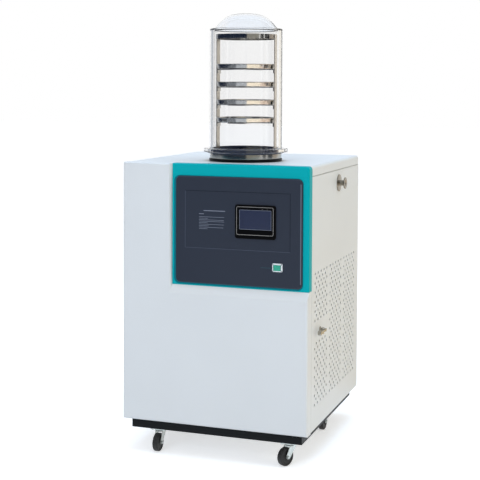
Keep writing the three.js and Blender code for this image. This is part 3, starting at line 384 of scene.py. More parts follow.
def lofted(loops, ring=False):
    """Loops of points joined one to the next, then capped, or closed as a ring."""
    bm = bmesh.new()
    loops = [[bm.verts.new(point) for point in loop] for loop in loops]
    for back, front in zip(loops, loops[1:] + (loops[:1] if ring else [])):
        for k in range(len(back)):
            bm.faces.new([back[k - 1], back[k], front[k], front[k - 1]])
    if not ring:
        bm.faces.new(loops[0])
        bm.faces.new(loops[-1])
    bmesh.ops.recalc_face_normals(bm, faces=bm.faces)
    return bm


def extruded(outline, start, end, axes=along_up):
    """An outline in (u, v) carried along w."""
    return lofted([[axes(u, v, w) for u, v in outline] for w in (start, end)])


def inset(area, left, right, bottom, top):
    """An area (u0, u1, v0, v1) drawn in by its own amount at each side."""
    u0, u1, v0, v1 = area
    return u0 + left, u1 - right, v0 + bottom, v1 - top


def grown(area, by):
    return inset(area, -by, -by, -by, -by)


def stacked(levels, ring=False, steps=6):
    """Rectangles with round corners, (area, corner, w), joined one behind the other."""
    outlines = [(rectangle(*area, corner, steps), w) for area, corner, w in levels]
    return lofted([[along_front(u, v, w) for u, v in outline] for outline, w in outlines], ring)


def rim_levels(area, corner, edge, face, steps=4):
    """Levels that round a rim over, from the side wall to the face in front of it."""
    levels = []
    for k in range(steps + 1):
        inward = edge * (1 - math.cos(math.pi / 2 * k / steps))
        back = edge * (1 - math.sin(math.pi / 2 * k / steps))
        levels.append((grown(area, -inward), corner - inward, face + back))
    return levels


def block(low, high):
    """A plain box between two corners."""
    (x0, y0, z0), (x1, y1, z1) = low, high
    return extruded([(x0, y0), (x1, y0), (x1, y1), (x0, y1)], z0, z1)


def bevelled(bm, edges, radius, segments):
    bmesh.ops.bevel(bm, geom=edges, offset=radius, segments=segments, profile=0.5, affect="EDGES")
    return bm


def round_edges(bm, picked, radius, segments=4):
    """Rounds the edges whose two ends both pass the test."""
    edges = [e for e in bm.edges if all(picked(v.co) for v in e.verts)]
    return bevelled(bm, edges, radius, segments)


def merged(*parts):
    """Several loose solids as one mesh."""
    whole = bmesh.new()
    for part in parts:
        mesh = bpy.data.meshes.new("part")
        part.to_mesh(mesh)
        part.free()
        whole.from_mesh(mesh)
        bpy.data.meshes.remove(mesh)
    return whole


def transformed(bm, matrix):
    bmesh.ops.transform(bm, matrix=matrix, verts=bm.verts)
    return bm


def shifted(bm, x=0.0, y=0.0, z=0.0):
    return transformed(bm, Matrix.Translation((x, y, z)))


def soften(bm, limit=38):
    """Smooth shading, broken at edges sharper than the limit."""
    bm.normal_update()
    for face in bm.faces:
        face.smooth = True
    for edge in bm.edges:
        edge.smooth = len(edge.link_faces) == 2 and edge.calc_face_angle(0) < math.radians(limit)


# %% [markdown]
# ## From mesh to piece
# A piece gets its mesh in millimetres, scaled to metres here, and then its material, its body and the
# node that it stands for; one that only adds to a node stands for none. Every piece gets weighted
# normals, so a rounded fold shades only itself and leaves the flat beside it flat. On the clear jar this
# matters twice: a long wall whose normals lean at its ends would bend light like a lens.

# %% Piece helpers
body_of = {node: body for body, nodes in frame["record"]["behaviour"]["bodies"].items() for node in nodes}


def modified(obj, kind, **settings):
    """Adds a modifier and bakes it into the mesh."""
    modifier = obj.modifiers.new(kind.lower(), kind)
    for key, value in settings.items():
        setattr(modifier, key, value)
    graph = bpy.context.evaluated_depsgraph_get()
    baked = bpy.data.meshes.new_from_object(obj.evaluated_get(graph))
    obj.modifiers.clear()
    obj.data = baked
    return obj


def as_object(name, bm):
    mesh = bpy.data.meshes.new(name)
    transformed(bm, Matrix.Scale(MM, 4))
    bm.to_mesh(mesh)
    bm.free()
    obj = bpy.data.objects.new(name, mesh)
    scene.collection.objects.link(obj)
    return obj


def drilled(obj, tool_bm):
    """Cuts a tool's solids out of a piece."""
    tool = as_object("tool", tool_bm)
    modified(obj, "BOOLEAN", object=tool, operation="DIFFERENCE", solver="EXACT")
    bpy.data.objects.remove(tool)
    return obj


def finished(obj, material, node, shown=True):
    """Shades a piece, gives it its material and body, and lets it stand for its node if that shows."""
    bm = bmesh.new()
    bm.from_mesh(obj.data)
    bmesh.ops.remove_doubles(bm, verts=bm.verts, dist=1e-6)
    soften(bm)
    bm.to_mesh(obj.data)
    bm.free()
    obj.data.materials.clear()
    obj.data.materials.append(material)
    obj.modifiers.new("flats", "WEIGHTED_NORMAL").keep_sharp = True
    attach(obj, body_of[node])
    if shown:
        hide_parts(node)
    return obj


def piece(name, bm, material, node, shown=True):
    return finished(as_object(name, bm), material, node, shown)


def extra(name, bm, material, node):
    """A piece that adds to its node and stands for none."""
    return piece(name, bm, material, node, shown=False)


SHEET = 2.0  # casing sheet, in millimetres


def sheet_object(node, shell):
    """An open shell as a folded sheet, thickened inwards."""
    return modified(as_object(node + "_folded", shell), "SOLIDIFY", thickness=SHEET * MM, offset=-1.0)


# %% [markdown]
# ## The front panel
# One folded sheet, 45 mm deep, with a step at the upper right that takes the controls. The step's
# ledge slopes like a shelf edge, and its side slopes less. The open shell is built face by face, its
# folds and the step's creases are rounded, and then it is given its thickness.

# %% Front panel
HEM = 12.0  # the return's rear edge is bent in beside the side panel
HEM_FOLD, OUTER_FOLD, STEP_CREASE = 3.0, 9.0, 3.5


def folded_front():
    (x0, yf, z0), (x1, yb, z1) = box_mm("front_panel")
    (sx, ys, sz), _ = box_mm("control_surround")
    clearance, side_slope, ledge_slope = 0.3, 7.0, 28.0
    xi, zi = sx - clearance, sz - clearance
    xe, ze = xi - side_slope, zi - ledge_slope
    faces = [
        [(x0, yf, z0), (x1, yf, z0), (x1, yf, ze), (xe, yf, ze), (xe, yf, z1), (x0, yf, z1)],
        [(xe, yf, ze), (x1, yf, ze), (x1, ys, zi), (xi, ys, zi)],
        [(xe, yf, z1), (xe, yf, ze), (xi, ys, zi), (xi, ys, z1)],
        [(xi, ys, zi), (x1, ys, zi), (x1, yb, zi), (xi, yb, zi)],
        [(xi, ys, z1), (xi, ys, zi), (xi, yb, zi), (xi, yb, z1)],
        [(x0, yf, z1), (xe, yf, z1), (xi, ys, z1), (xi, yb, z1), (x0, yb, z1)],
        [(x1, yf, z0), (x1, yb, z0), (x1, yb, zi), (x1, ys, zi), (x1, yf, ze)],
        [(x0, yf, z0), (x0, yf, z1), (x0, yb, z1), (x0, yb, z0)],
        [(x0, yf, z0), (x0, yb, z0), (x1, yb, z0), (x1, yf, z0)],
        [(x1, yb, z0), (x1, yb, zi), (x1 - HEM, yb, zi), (x1 - HEM, yb, z0)],
        [(x0, yb, z0), (x0, yb, z1), (x0 + HEM, yb, z1), (x0 + HEM, yb, z0)],
    ]
    bm = bmesh.new()
    for face in faces:
        bm.faces.new([bm.verts.new(corner) for corner in face])
    bmesh.ops.remove_doubles(bm, verts=bm.verts, dist=TOUCH)
    bmesh.ops.recalc_face_normals(bm, faces=bm.faces)

    def upright_at_a_side(a, b):
        return same(a.x, b.x) and (same(a.x, x0) or same(a.x, x1))

    def hem_fold(a, b):
        return same(a.y, yb) and same(b.y, yb) and upright_at_a_side(a, b)

    def outer_fold(a, b):
        level_at_an_end = same(a.z, b.z) and (same(a.z, z0) or same(a.z, z1))
        return same(a.y, yf) and same(b.y, yf) and (upright_at_a_side(a, b) or level_at_an_end)

    for is_fold, radius, segments in ((hem_fold, HEM_FOLD, 3), (outer_fold, OUTER_FOLD, 6)):
        bevelled(bm, [e for e in bm.edges if is_fold(*(v.co for v in e.verts))], radius, segments)

    def crease(point):
        on_ledge = same(point.z, ze) and point.x > xe - 1
        on_side = same(point.x, xe) and point.z > ze - 1
        return same(point.y, yf) and (on_ledge or on_side)

    return round_edges(bm, crease, STEP_CREASE, 3)


front_panel = finished(sheet_object("front_panel", folded_front()), white_coat, "front_panel")
print("front panel", len(front_panel.data.polygons), "faces")

# %% [markdown]
# ## Top cover and sides
# The rest of the casing is shallow trays of the same sheet. Each is a box with one face left open and
# its outer edges rounded, thickened inwards. The cover is then bored for the cold trap.

# %% Trays of folded sheet


def open_tray(node, radius, keep, picked, segments=4):
    """A node's box as a tray of sheet: faces that fail keep are removed, picked edges are rounded."""
    low, high = box_mm(node)
    bm = block(low, high)
    middle = (low + high) / 2
    size = high - low

    def side_of(point):
        offset = point - middle
        return [round(2 * offset[i] / size[i]) for i in range(3)]

    def sides(edge):
        return [sum(pair) for pair in zip(*(side_of(v.co) for v in edge.verts))]

    bevelled(bm, [e for e in bm.edges if picked(sides(e))], radius, segments)
    bm.normal_update()
    gone = [f for f in bm.faces if not keep(f.normal)]
    bmesh.ops.delete(bm, geom=gone, context="FACES")
    return sheet_object(node, bm)


def cover_edge(side):
    """True for the cover's upper edges, save the front one, and its two rear corners."""
    across, back, up = side
    return up == 2 and (abs(across) == 2 or back == 2) or (abs(across) == 2 and back == 2)


BORE_R, CUT, COVER_FOLD = 103.0, 20.0, 10.0
top_cover = open_tray("top_cover", COVER_FOLD, lambda n: n.z > -0.9, cover_edge, 6)
trap_low, trap_high = box_mm("cold_trap")
axis_x, axis_y, _ = (trap_low + trap_high) / 2
cover_top = box_mm("top_cover")[1].z


def on_axis(bm):
    """Moves a turned piece to the chamber's axis."""
    return shifted(bm, axis_x, axis_y)


bore = on_axis(washer(0, BORE_R, cover_top - CUT, cover_top + CUT))
finished(drilled(top_cover, bore), white_coat, "top_cover")

SIDE_FOLD = 5.0
left_side = open_tray("left_side_panel", SIDE_FOLD, lambda n: n.x < 0.9, lambda side: side[0] == -2)
finished(left_side, white_coat, "left_side_panel")

# %% [markdown]
# ## The punched side
# The right side lets the compressor breathe through three blocks of 10 mm holes. Rows are staggered: a
# second grid sits between the first, with one hole fewer in each row. A few rows stay blank round the
# drain valve. The holes are drawn here as true circles, which the frame holds as small squares.

# %% Punched field
PUNCH_RADIUS, PUNCH_ROWS, PUNCH_COLUMNS, PUNCH_BLOCKS = 5.0, 15, 5, 3
PUNCH_REACH, PORT_HOLE_R = 8.0, 11.5
ROW_PITCH, COLUMN_PITCH, BLOCK_PITCH, TOP_ROW, MIDDLE_Y, BLANK = 30.43, 36.4, 189.5, 509.3, 9.0, 30.0
cabinet_floor = box_mm("base_frame")[1].z
panel_x = box_mm("right_side_panel")[1].x
lever_joint = next(j for j in frame["record"]["behaviour"]["joints"] if j["name"] == "drain_lever_turn")
valve_y, valve_z = (c / MM for c in lever_joint["pos_m"][1:])


def hole_centres():
    """Centres (y, z) of the punched holes."""
    for block_index in range(PUNCH_BLOCKS):
        middle = MIDDLE_Y + (block_index - (PUNCH_BLOCKS - 1) / 2) * BLOCK_PITCH
        for row in range(2 * PUNCH_ROWS - 1):
            between = row % 2
            z = cabinet_floor + TOP_ROW - row * ROW_PITCH / 2
            if block_index == 0 and abs(z - valve_z) < BLANK:
                continue
            for column in range(PUNCH_COLUMNS - between):
                y = middle + (column - (PUNCH_COLUMNS - 1 - between) / 2) * COLUMN_PITCH
                yield y, z


def side_punch(radius, y, z, segments=16):
    turns = [2 * math.pi * k / segments for k in range(segments)]
    circle = [(y + radius * math.cos(a), z + radius * math.sin(a)) for a in turns]
    return extruded(circle, panel_x - PUNCH_REACH, panel_x + PUNCH_REACH, along_side)


right_side = open_tray("right_side_panel", SIDE_FOLD, lambda n: n.x > -0.9, lambda side: side[0] == 2)
port_low, port_high = box_mm("vacuum_port")
_, port_y, port_z = (port_low + port_high) / 2
punches = [side_punch(PUNCH_RADIUS, y, z) for y, z in hole_centres()]
print(len(punches), "punched holes")
punches.append(side_punch(PORT_HOLE_R, port_y, port_z, 32))
finished(drilled(right_side, merged(*punches)), white_coat, "right_side_panel")

# %% [markdown]
# ## The control area
# A teal surround fills the step and shows as a broad frame. On it sits a slate plate with soft edges
# and a shallow sunk field, 1 mm deep, that groups the text and the screen.

# %% Surround and control plate
SURROUND_CORNER, SURROUND_RIM = 12.0, 5.0


def surround_block():
    """The surround, with its free upper corner and the rim round it rounded."""
    low, high = box_mm("control_surround")
    bm = block(low, high)
    round_edges(bm, lambda p: same(p.x, high.x) and same(p.z, high.z), SURROUND_CORNER, 8)

    def rim(point):
        reach = SURROUND_CORNER + 0.5
        on_corner = point.x > high.x - reach and point.z > high.z - reach
        return same(point.y, low.y) and (same(point.x, high.x) or same(point.z, high.z) or on_corner)

    return round_edges(bm, rim, SURROUND_RIM, 4)


piece("control_surround_folded", surround_block(), teal_coat, "control_surround")

plate_low, plate_high = box_mm("control_plate")
screen_low, screen_high = box_mm("touch_screen")
plate_face = plate_low.y
PLATE = inset(front_area(plate_low, plate_high), -2.0, 0, 0, 0)
PLATE_CORNER, PLATE_RIM = 16.0, 4.5
FIELD = inset(PLATE, 35, 41, 117, 48)
FIELD_DEPTH, FIELD_SLOPE = 1.0, 2.0


def sunk_plate():
    """The plate: a rounded rim, and a field sunk into its face with sloping walls."""
    rim = rim_levels(PLATE, PLATE_CORNER, PLATE_RIM, plate_face)
    sunk = [(FIELD, 3.5, plate_face), (grown(FIELD, -FIELD_SLOPE), 1.5, plate_face + FIELD_DEPTH)]
    return stacked([(PLATE, PLATE_CORNER, plate_high.y)] + rim + sunk, steps=8)


piece("control_plate_moulded", sunk_plate(), slate_coat, "control_plate")

# %% [markdown]
# A dark teal ring under the plate, a little wider at its left and lower edges, is painted shadow: it
# stands for the shade that the raised plate casts round it. The studio is too even to draw a step 1 mm
# deep, so thin strips edge the sunk field: painted shade where it falls in shade and painted highlight
# where it catches light. One more, a painted highlight, runs up the right rim, which shines in the
# window's light.

# %% Painted shadow and painted field edges
SHADOW_THICK, EDGE, RIM_FROM, RIM_TO = 0.9, 1.5, 6.5, 3.7


def strip(u0, u1, v0, v1):
    return block((u0, plate_face - 0.12, v0), (u1, plate_face + 0.3, v1))


# Painted shadow round the plate, wider at its left and lower edges.
shadow_area = inset(PLATE, -7.0, -1.5, -5.0, -1.5)
shadow_levels = [(shadow_area, PLATE_CORNER + 2, plate_high.y - lift) for lift in (0, SHADOW_THICK)]
extra("control_plate_painted_shadow", stacked(shadow_levels), teal_painted_shadow, "control_plate")
left, right, bottom, top = FIELD
# Painted shade on the field's upper and right edges, painted highlight on its left and lower edges.
shade = (strip(left - EDGE, right, top, top + EDGE), strip(right, right + EDGE, bottom, top + EDGE))
gleam = (strip(left - EDGE, left, bottom - EDGE, top), strip(left, right + EDGE, bottom - EDGE, bottom))
extra("control_field_shade", merged(*shade), field_painted_shade, "control_plate")
extra("control_field_gleam", merged(*gleam), field_painted_highlight, "control_plate")
_, right, bottom, top = PLATE
# A painted highlight up the plate's right rim.
rim_gleam = strip(right - RIM_FROM, right - RIM_TO, bottom + PLATE_CORNER, top - PLATE_CORNER)
extra("control_rim_gleam", rim_gleam, rim_painted_highlight, "control_plate")

# %% [markdown]
# The printed notes on the real plate are left out. Plain rules of different lengths keep the texture
# of a printed block there: they are bars a millimetre high with nothing to read.

# %% Plain rules in place of print


def bar(left, right, drop, height, sunk=FIELD_DEPTH):
    """A flat bar on the plate, placed from the plate's upper left corner."""
    x, z, face = plate_low.x, plate_high.z - drop, plate_face + sunk
    return block((x + left, face - 0.12, z - height), (x + right, face + 0.1, z))


NOTE_LEFT, NOTE_TOP, LINE_PITCH, LINE_LENGTHS = 80, 110, 4.85, (87, 30, 86, 87, 30, 86, 34, 84, 30)
note = [bar(NOTE_LEFT + 16, NOTE_LEFT + 90, NOTE_TOP, 2.6)]
note.append(bar(NOTE_LEFT, NOTE_LEFT + 17, NOTE_TOP + 11, 2.2))
for row, length in enumerate(LINE_LENGTHS):
    note.append(bar(NOTE_LEFT, NOTE_LEFT + length, NOTE_TOP + 21 + LINE_PITCH * row, 1.2))
extra("control_plate_rules", merged(*note), print_grey, "control_plate")
POINTER_LEFT, POINTER_RIGHT, POINTER_DROP = 292, 326, 286
pointer = bar(POINTER_LEFT, POINTER_RIGHT, POINTER_DROP, 1.2, sunk=0)
extra("power_switch_pointer", pointer, print_teal, "control_plate")

# %% [markdown]
# ## Touch screen and power switch
# The screen's housing is one moulded frame. A thin silver line runs round its face, two small lamps
# sit at its upper right, and the display lies a little back behind it with a fine grey border. The
# rocker is a shallow roof of two flats that tips in a white frame.

# %% Touch screen


def ring_bar(outer, inner, corner, front, back):
    """A flat frame between two rounded rectangles."""
    inner_corner = max(corner - (inner[0] - outer[0]), 0.4)
    levels = [(outer, corner, back), (outer, corner, front), (inner, inner_corner, front)]
    return stacked(levels + [(inner, inner_corner, back)], ring=True)


SCREEN = inset(front_area(screen_low, screen_high), -1.5, 1.5, 0, -3.3)
LINE = inset(SCREEN, 5.2, 6.8, 12, 6)
GLASS = inset(SCREEN, 15.3, 14.2, 30, 16.3)
screen_face, glass_depth = screen_low.y, 0.8
display_face = screen_face + glass_depth
housing = [(SCREEN, 8, plate_face + FIELD_DEPTH - 0.1)] + rim_levels(SCREEN, 8, 1.8, screen_face)
housing += [(GLASS, 1, screen_face), (GLASS, 1, display_face)]
piece("touch_screen_housing", stacked(housing), abs_black, "touch_screen")
line = ring_bar(LINE, grown(LINE, -1.7), 5.5, screen_face - 0.1, screen_face + 0.3)
extra("touch_screen_line", line, silver_trim, "touch_screen")
border = ring_bar(GLASS, grown(GLASS, -1.1), 1.0, screen_face + 0.15, display_face)
extra("touch_screen_border", border, print_grey, "touch_screen")
pane = rectangle(*grown(GLASS, -0.6), 0.8)
pane = extruded(pane, display_face + 0.05, display_face - 0.4, along_front)
piece("touch_screen_display", pane, display, "screen_glass")
LAMP_R, LAMP_RISE, LAMP_DROP = 0.9, 0.3, 13.2
facing_front = Matrix.Rotation(math.pi / 2, 4, "X")
lamps = []
for in_by in (44, 28):
    lamp = transformed(washer(0, LAMP_R, 0, LAMP_RISE, segments=12), facing_front)
    lamps.append(shifted(lamp, SCREEN[1] - in_by, screen_face + 0.15, SCREEN[3] - LAMP_DROP))
extra("touch_screen_lamps", merged(*lamps), silver_trim, "touch_screen")

# %% Power switch
frame_low, frame_high = box_mm("power_switch_frame")
BEZEL = front_area(frame_low, frame_high)
OPENING = inset(BEZEL, 3.2, 5.2, 3.2, 5.0)
switch_bar = ring_bar(BEZEL, OPENING, 2.5, frame_low.y, frame_high.y)
round_edges(switch_bar, lambda p: same(p.y, frame_low.y), 0.6, 2)
piece("power_switch_frame_moulded", switch_bar, abs_white, "power_switch_frame")


def rocker_roof():
    """The rocker's roof of two flats, tipped to its resting side."""
    tip, play, rise, peak, base = math.radians(9), 0.5, 1.4, -4.4, 3.5
    pivot_x, pivot_y = (frame_low.x + frame_high.x) / 2, plate_face + 1.7
    left, right = OPENING[0] + play - pivot_x, OPENING[1] - play - pivot_x
    outline = [(left, peak + rise), (0, peak), (right, peak + rise), (right - 2, base), (left + 2, base)]
    bm = extruded(outline, OPENING[2] + play, OPENING[3] - play)
    round_edges(bm, lambda p: True, 0.5, 2)
    transformed(bm, Matrix.Rotation(tip, 4, "Z"))
    return shifted(bm, pivot_x, pivot_y)


piece("power_rocker_moulded", rocker_roof(), rocker_green, "power_rocker")

# %% [markdown]
# ## The drying chamber
# Everything from the gasket up is round and shares one axis, so it is turned. Profiles follow the
# order of assembly: gasket on the cover, trap collar on the gasket, seal on the collar, jar on the seal.
# The dome sits on the tube, and a thin dark ring under its foot is painted shade: it stands for the dark
# line that refraction draws where the dome rises from its flat rim.

# %% Seals and cold trap
gasket_low, gasket_high = box_mm("deck_gasket")
gasket_r = (gasket_high.x - gasket_low.x) / 2
gasket = washer(BORE_R, gasket_r, gasket_low.z, gasket_high.z, (0, 2.5, 2.5, 0))
piece("deck_gasket_moulded", on_axis(gasket), epdm, "deck_gasket")

collar_r, well_r, wall = (trap_high.x - trap_low.x) / 2, 100.0, 1.5
collar_low, collar_high = gasket_high.z + 0.3, trap_high.z
stub_drop = 34.0
well_floor = trap_low.z + stub_drop
trap = [
    (0, well_floor, 0),
    (well_r + wall, well_floor, 14),
    (well_r + wall, collar_low, 0),
    (collar_r, collar_low, 1.5),
    (collar_r, collar_high, 2.5),
    (well_r, collar_high, 2),
    (well_r, well_floor + wall, 13),
    (0, well_floor + wall, 0),
]
piece("cold_trap_drawn", on_axis(turned(fillet(trap))), stainless, "cold_trap")

seal_low, seal_high = box_mm("jar_seal")
seal_r, lip_r, lip, rest = (seal_high.x - seal_low.x) / 2, 108.5, 3.5, 3.0
seal = [
    (lip_r, seal_low.z, 0),
    (seal_r, seal_low.z, 1.2),
    (seal_r, seal_low.z + rest, 1.2),
    (lip_r + lip, seal_low.z + rest, 1.5),
    (lip_r + lip, seal_high.z, 1.5),
    (lip_r, seal_high.z, 1.5),
]
piece("jar_seal_moulded", on_axis(turned(fillet(seal))), silicone, "jar_seal")

# %% Jar and dome
jar_low, jar_high = box_mm("bell_jar")
flange_r, tube_r, tube_wall, flange_height = (jar_high.x - jar_low.x) / 2, 123.5, 10.0, 12.0
jar = [
    (tube_r - tube_wall, jar_low.z, 0.8),
    (flange_r, jar_low.z, 1.5),
    (flange_r, jar_low.z + flange_height, 1.5),
    (tube_r, jar_low.z + flange_height, 1.5),
    (tube_r, jar_high.z, 0.3),
    (tube_r - tube_wall, jar_high.z, 0.3),
]
piece("bell_jar_cast", on_axis(turned(fillet(jar, 4), 128)), tube_acrylic, "bell_jar")

dome_low, dome_high = box_mm("jar_dome")
RIM, FOOT_R, DOME_WALL, FLANK, PULL, CROWN_R = 5.0, 107.5, 5.0, math.radians(55), 62.0, 44.0


def dome_profile(steps=20):
    """A blown cap on a flat rim: a Bezier arc that leaves the rim steeply and flattens at the crown."""
    shoulder = dome_low.z + RIM
    handles = (
        Vector((FOOT_R, shoulder)),
        Vector((FOOT_R - PULL * math.cos(FLANK), shoulder + PULL * math.sin(FLANK))),
        Vector((CROWN_R, dome_high.z)),
        Vector((0, dome_high.z)),
    )

    def blend(points, t):
        while len(points) > 1:
            points = [a.lerp(b, t) for a, b in zip(points, points[1:])]
        return points[0]

    outside = [blend(handles, k / steps) for k in range(steps + 1)]
    pulls = [b - a for a, b in zip(handles, handles[1:])]
    tangents = [blend(pulls, k / steps) for k in range(steps + 1)]
    inside = [
        (p.x - DOME_WALL * t.normalized().y if k < steps else 0, p.y + DOME_WALL * t.normalized().x)
        for k, (p, t) in enumerate(zip(outside, tangents))
    ]
    rim = fillet([(FOOT_R, shoulder, 0), (tube_r, shoulder, 3), (tube_r, dome_low.z, 0.3)])[1:]
    foot = [(inside[0][0], dome_low.z)]
    return [tuple(p) for p in outside[::-1]] + rim + foot + inside


piece("jar_dome_blown", on_axis(turned(dome_profile(), 128)), dome_acrylic, "jar_dome")
# A painted-shade ring under the dome's foot, in place of the dark line that refraction draws there.
SHADE_RING_IN, SHADE_RING_OUT, SHADE_RING_HEIGHT = 103.5, 106.5, 1.8
shade_ring_top = dome_low.z - 0.1
shade_ring = washer(SHADE_RING_IN, SHADE_RING_OUT, shade_ring_top - SHADE_RING_HEIGHT, shade_ring_top, (0.4, 0.4, 0, 0), 128)
extra("jar_dome_foot_shade", on_axis(shade_ring), dome_foot_shade, "jar_dome")

# %% [markdown]
# ## Rack, shelves and trays
# Two flat strips rise from a foot ring to a top ring and carry four cross-shaped shelves. A tray rests
# on each: a spun dish with a slightly flared wall and a rolled rim.

# %% Rack
rack_low, rack_high = box_mm("rack_frame")
ring_r, band, foot_r, POST_WIDTH, POST_THICK, RING_HEIGHT = 102.5, 2.0, 107.0, 30.0, 2.5, 16.0
LEDGE_THICK, FOOT_HEIGHT = 2.5, 10.0
foot_ring = turned([
    (ring_r - band, rack_low.z),
    (foot_r, rack_low.z),
    (foot_r, rack_low.z + LEDGE_THICK),
    (ring_r, rack_low.z + LEDGE_THICK),
    (ring_r, rack_low.z + FOOT_HEIGHT),
    (ring_r - band, rack_low.z + FOOT_HEIGHT),
])
top_ring = washer(ring_r - band, ring_r, rack_high.z - RING_HEIGHT, rack_high.z, (0.4,) * 4, steps=2)


def post(side):
    inner, outer = ring_r - 0.8, ring_r - 0.8 + POST_THICK
    x0, x1 = sorted((side * inner, side * outer))
    bm = block((x0, -POST_WIDTH / 2, rack_low.z + 1), (x1, POST_WIDTH / 2, rack_high.z))
    return round_edges(bm, lambda p: True, 0.5, 2)


piece("rack_rings", on_axis(merged(foot_ring, top_ring)), tray_steel, "rack_frame")
extra("rack_posts", on_axis(merged(post(-1), post(1))), strip_steel, "rack_frame")


def shelf(low, high):
    """A flat cross of strip with its side arms bent down against the posts."""
    thick, reach, tab = 2.5, (high.x - low.x) / 2, high.z - low.z
    arm, cross, front = 15.0, 30.0, (high.y - low.y) / 2
    outside = [(-reach, -tab, 0), (-reach, 0, 3), (reach, 0, 3), (reach, -tab, 0)]
    inside = [(reach - thick, -tab, 0), (reach - thick, -thick, 1)]
    inside += [(-reach + thick, -thick, 1), (-reach + thick, -tab, 0)]
    strap = extruded(fillet(outside + inside, 3), -arm, arm, along_front)
    wide = extruded(rectangle(-cross, cross, -front, front, 4), -thick - 0.05, -0.05)
    return shifted(merged(strap, wide), z=high.z)


def tray(low, high):
    """A spun dish: a round-cornered floor, a flared wall and a rolled rim."""
    r, flare, wall, roll = (high.y - low.y) / 2, 4.0, 1.2, 1.6
    z0, z1 = low.z, high.z
    outside = [(0, z0, 0), (r - flare, z0, 3.5), (r - 2, z1 - 2 * roll, 0.3)]
    rim = [(r, z1 - 2 * roll, roll * 0.8), (r, z1, roll * 0.8), (r - 2 - wall, z1, 0.8)]
    inside = [(r - flare - wall, z0 + wall, 2.5), (0, z0 + wall, 0)]
    return turned(fillet(outside + rim + inside))


for level in range(1, 5):
    shelf_node, tray_node = f"rack_shelf_{level}", f"tray_{level}"
    piece(f"shelf_strap_{level}", on_axis(shelf(*box_mm(shelf_node))), tray_steel, shelf_node)
    piece(f"tray_spun_{level}", on_axis(tray(*box_mm(tray_node))), tray_steel, tray_node)

# %% [markdown]
# ## Fittings on the right side
# The vacuum flange is a turned stub with a weld disc against the panel and the flared collar that a
# clamp closes on. It lies on its side, so its profile is turned about Z and tipped over.

# %% Vacuum flange
port_reach = port_high.x - panel_x
disc_r = (port_high.y - port_low.y) / 2
TUBE_IN, TUBE_OUT, RIM_R, DISC_THICK = 8.0, 9.5, 20.0, 3.3
port_profile = [
    (TUBE_IN, -20, 0),
    (TUBE_OUT, -20, 0),
    (TUBE_OUT, 0.3, 0),
    (disc_r, 0.3, 0.6),
    (disc_r, DISC_THICK, 1.2),
    (TUBE_OUT, DISC_THICK + 1, 2.5),
    (TUBE_OUT, port_reach - 7, 1.5),
    (RIM_R, port_reach - 3.2, 0.8),
    (RIM_R, port_reach, 0.6),
    (11, port_reach, 0.4),
    (TUBE_IN, port_reach - 4, 1),
]
quarter = Matrix.Rotation(math.pi / 2, 4, "Y")
port = shifted(transformed(turned(fillet(port_profile, 4)), quarter), panel_x, port_y, port_z)
piece("vacuum_flange_turned", port, flange_steel, "vacuum_port")

# %% [markdown]
# ## Drain valve
# A small ball valve drains the trap: a hexagon nut against the panel, a round body with a spout that
# points down, and a flat lever on its stem that ends in a round grip. It is chromed brass, so it is
# drawn mostly by what it reflects.

# %% Drain valve and lever
NUT_R, NUT_THICK, THROAT_R, BALL_R, BALL_AT, STEM_R, STEM_END = 10.0, 4.0, 6.0, 8.0, 11.3, 3.0, 22.1
LEVER_THICK, LEVER_WIDTH, LEVER_REACH, HUB_R, GRIP_R, GRIP_LENGTH = 2.2, 6.5, 56.0, 6.0, 7.5, 12.0
SPOUT_IN, SPOUT_OUT, SPOUT_DROP = 2.5, 4.0, 14.0


def at_valve(bm):
    return shifted(bm, panel_x, valve_y, valve_z)


def ball_arc(steps=16):
    """The body's outline from its throat to its stem."""
    start, end = math.asin(THROAT_R / BALL_R) - math.pi, -math.asin(STEM_R / BALL_R)
    sweep = [start + (end - start) * k / steps for k in range(steps + 1)]
    return [(-BALL_R * math.sin(a), BALL_AT + BALL_R * math.cos(a)) for a in sweep]


valve_nut = washer(0, NUT_R, 0.3, NUT_THICK + 0.3, (0, 0.8, 1, 0), 6)
valve_body = turned([(0, -6), (THROAT_R, -6)] + ball_arc() + [(STEM_R, STEM_END), (0, STEM_END)], 40)
spout = washer(SPOUT_IN, SPOUT_OUT, -SPOUT_DROP, -4, (0.4, 0.6, 0, 0), 32)
valve_parts = merged(transformed(merged(valve_nut, valve_body), quarter), shifted(spout, x=BALL_AT))
piece("drain_valve_turned", at_valve(valve_parts), chrome, "drain_valve")

lever_start = BALL_AT + BALL_R + 0.3
lever_end = lever_start + LEVER_THICK
hub = washer(STEM_R + 0.2, HUB_R, lever_start, lever_end, (0, 0.4, 0.4, 0), 40)
grip = washer(0, GRIP_R, lever_end - GRIP_LENGTH, lever_end, (0, 2.5, 1.2, 0), 40)
half_width = LEVER_WIDTH / 2
strap_outline = rectangle(-LEVER_REACH, -STEM_R - 0.5, -half_width, half_width, 2)
strap = extruded(strap_outline, lever_start + 0.05, lever_end - 0.05, along_side)
lever = merged(transformed(hub, quarter), strap, shifted(transformed(grip, quarter), y=-LEVER_REACH))
piece("drain_lever_pressed", at_valve(lever), chrome, "drain_valve_lever")

# %% [markdown]
# ## Castors
# Each castor swivels on a riveted plate. The fork is pressed from zinc-plated sheet: a round crown and
# two cheeks that narrow to the axle. They are made once in their own frame, with the king pin on Z and
# the wheel trailing towards -Y, and then turned and set under each corner.

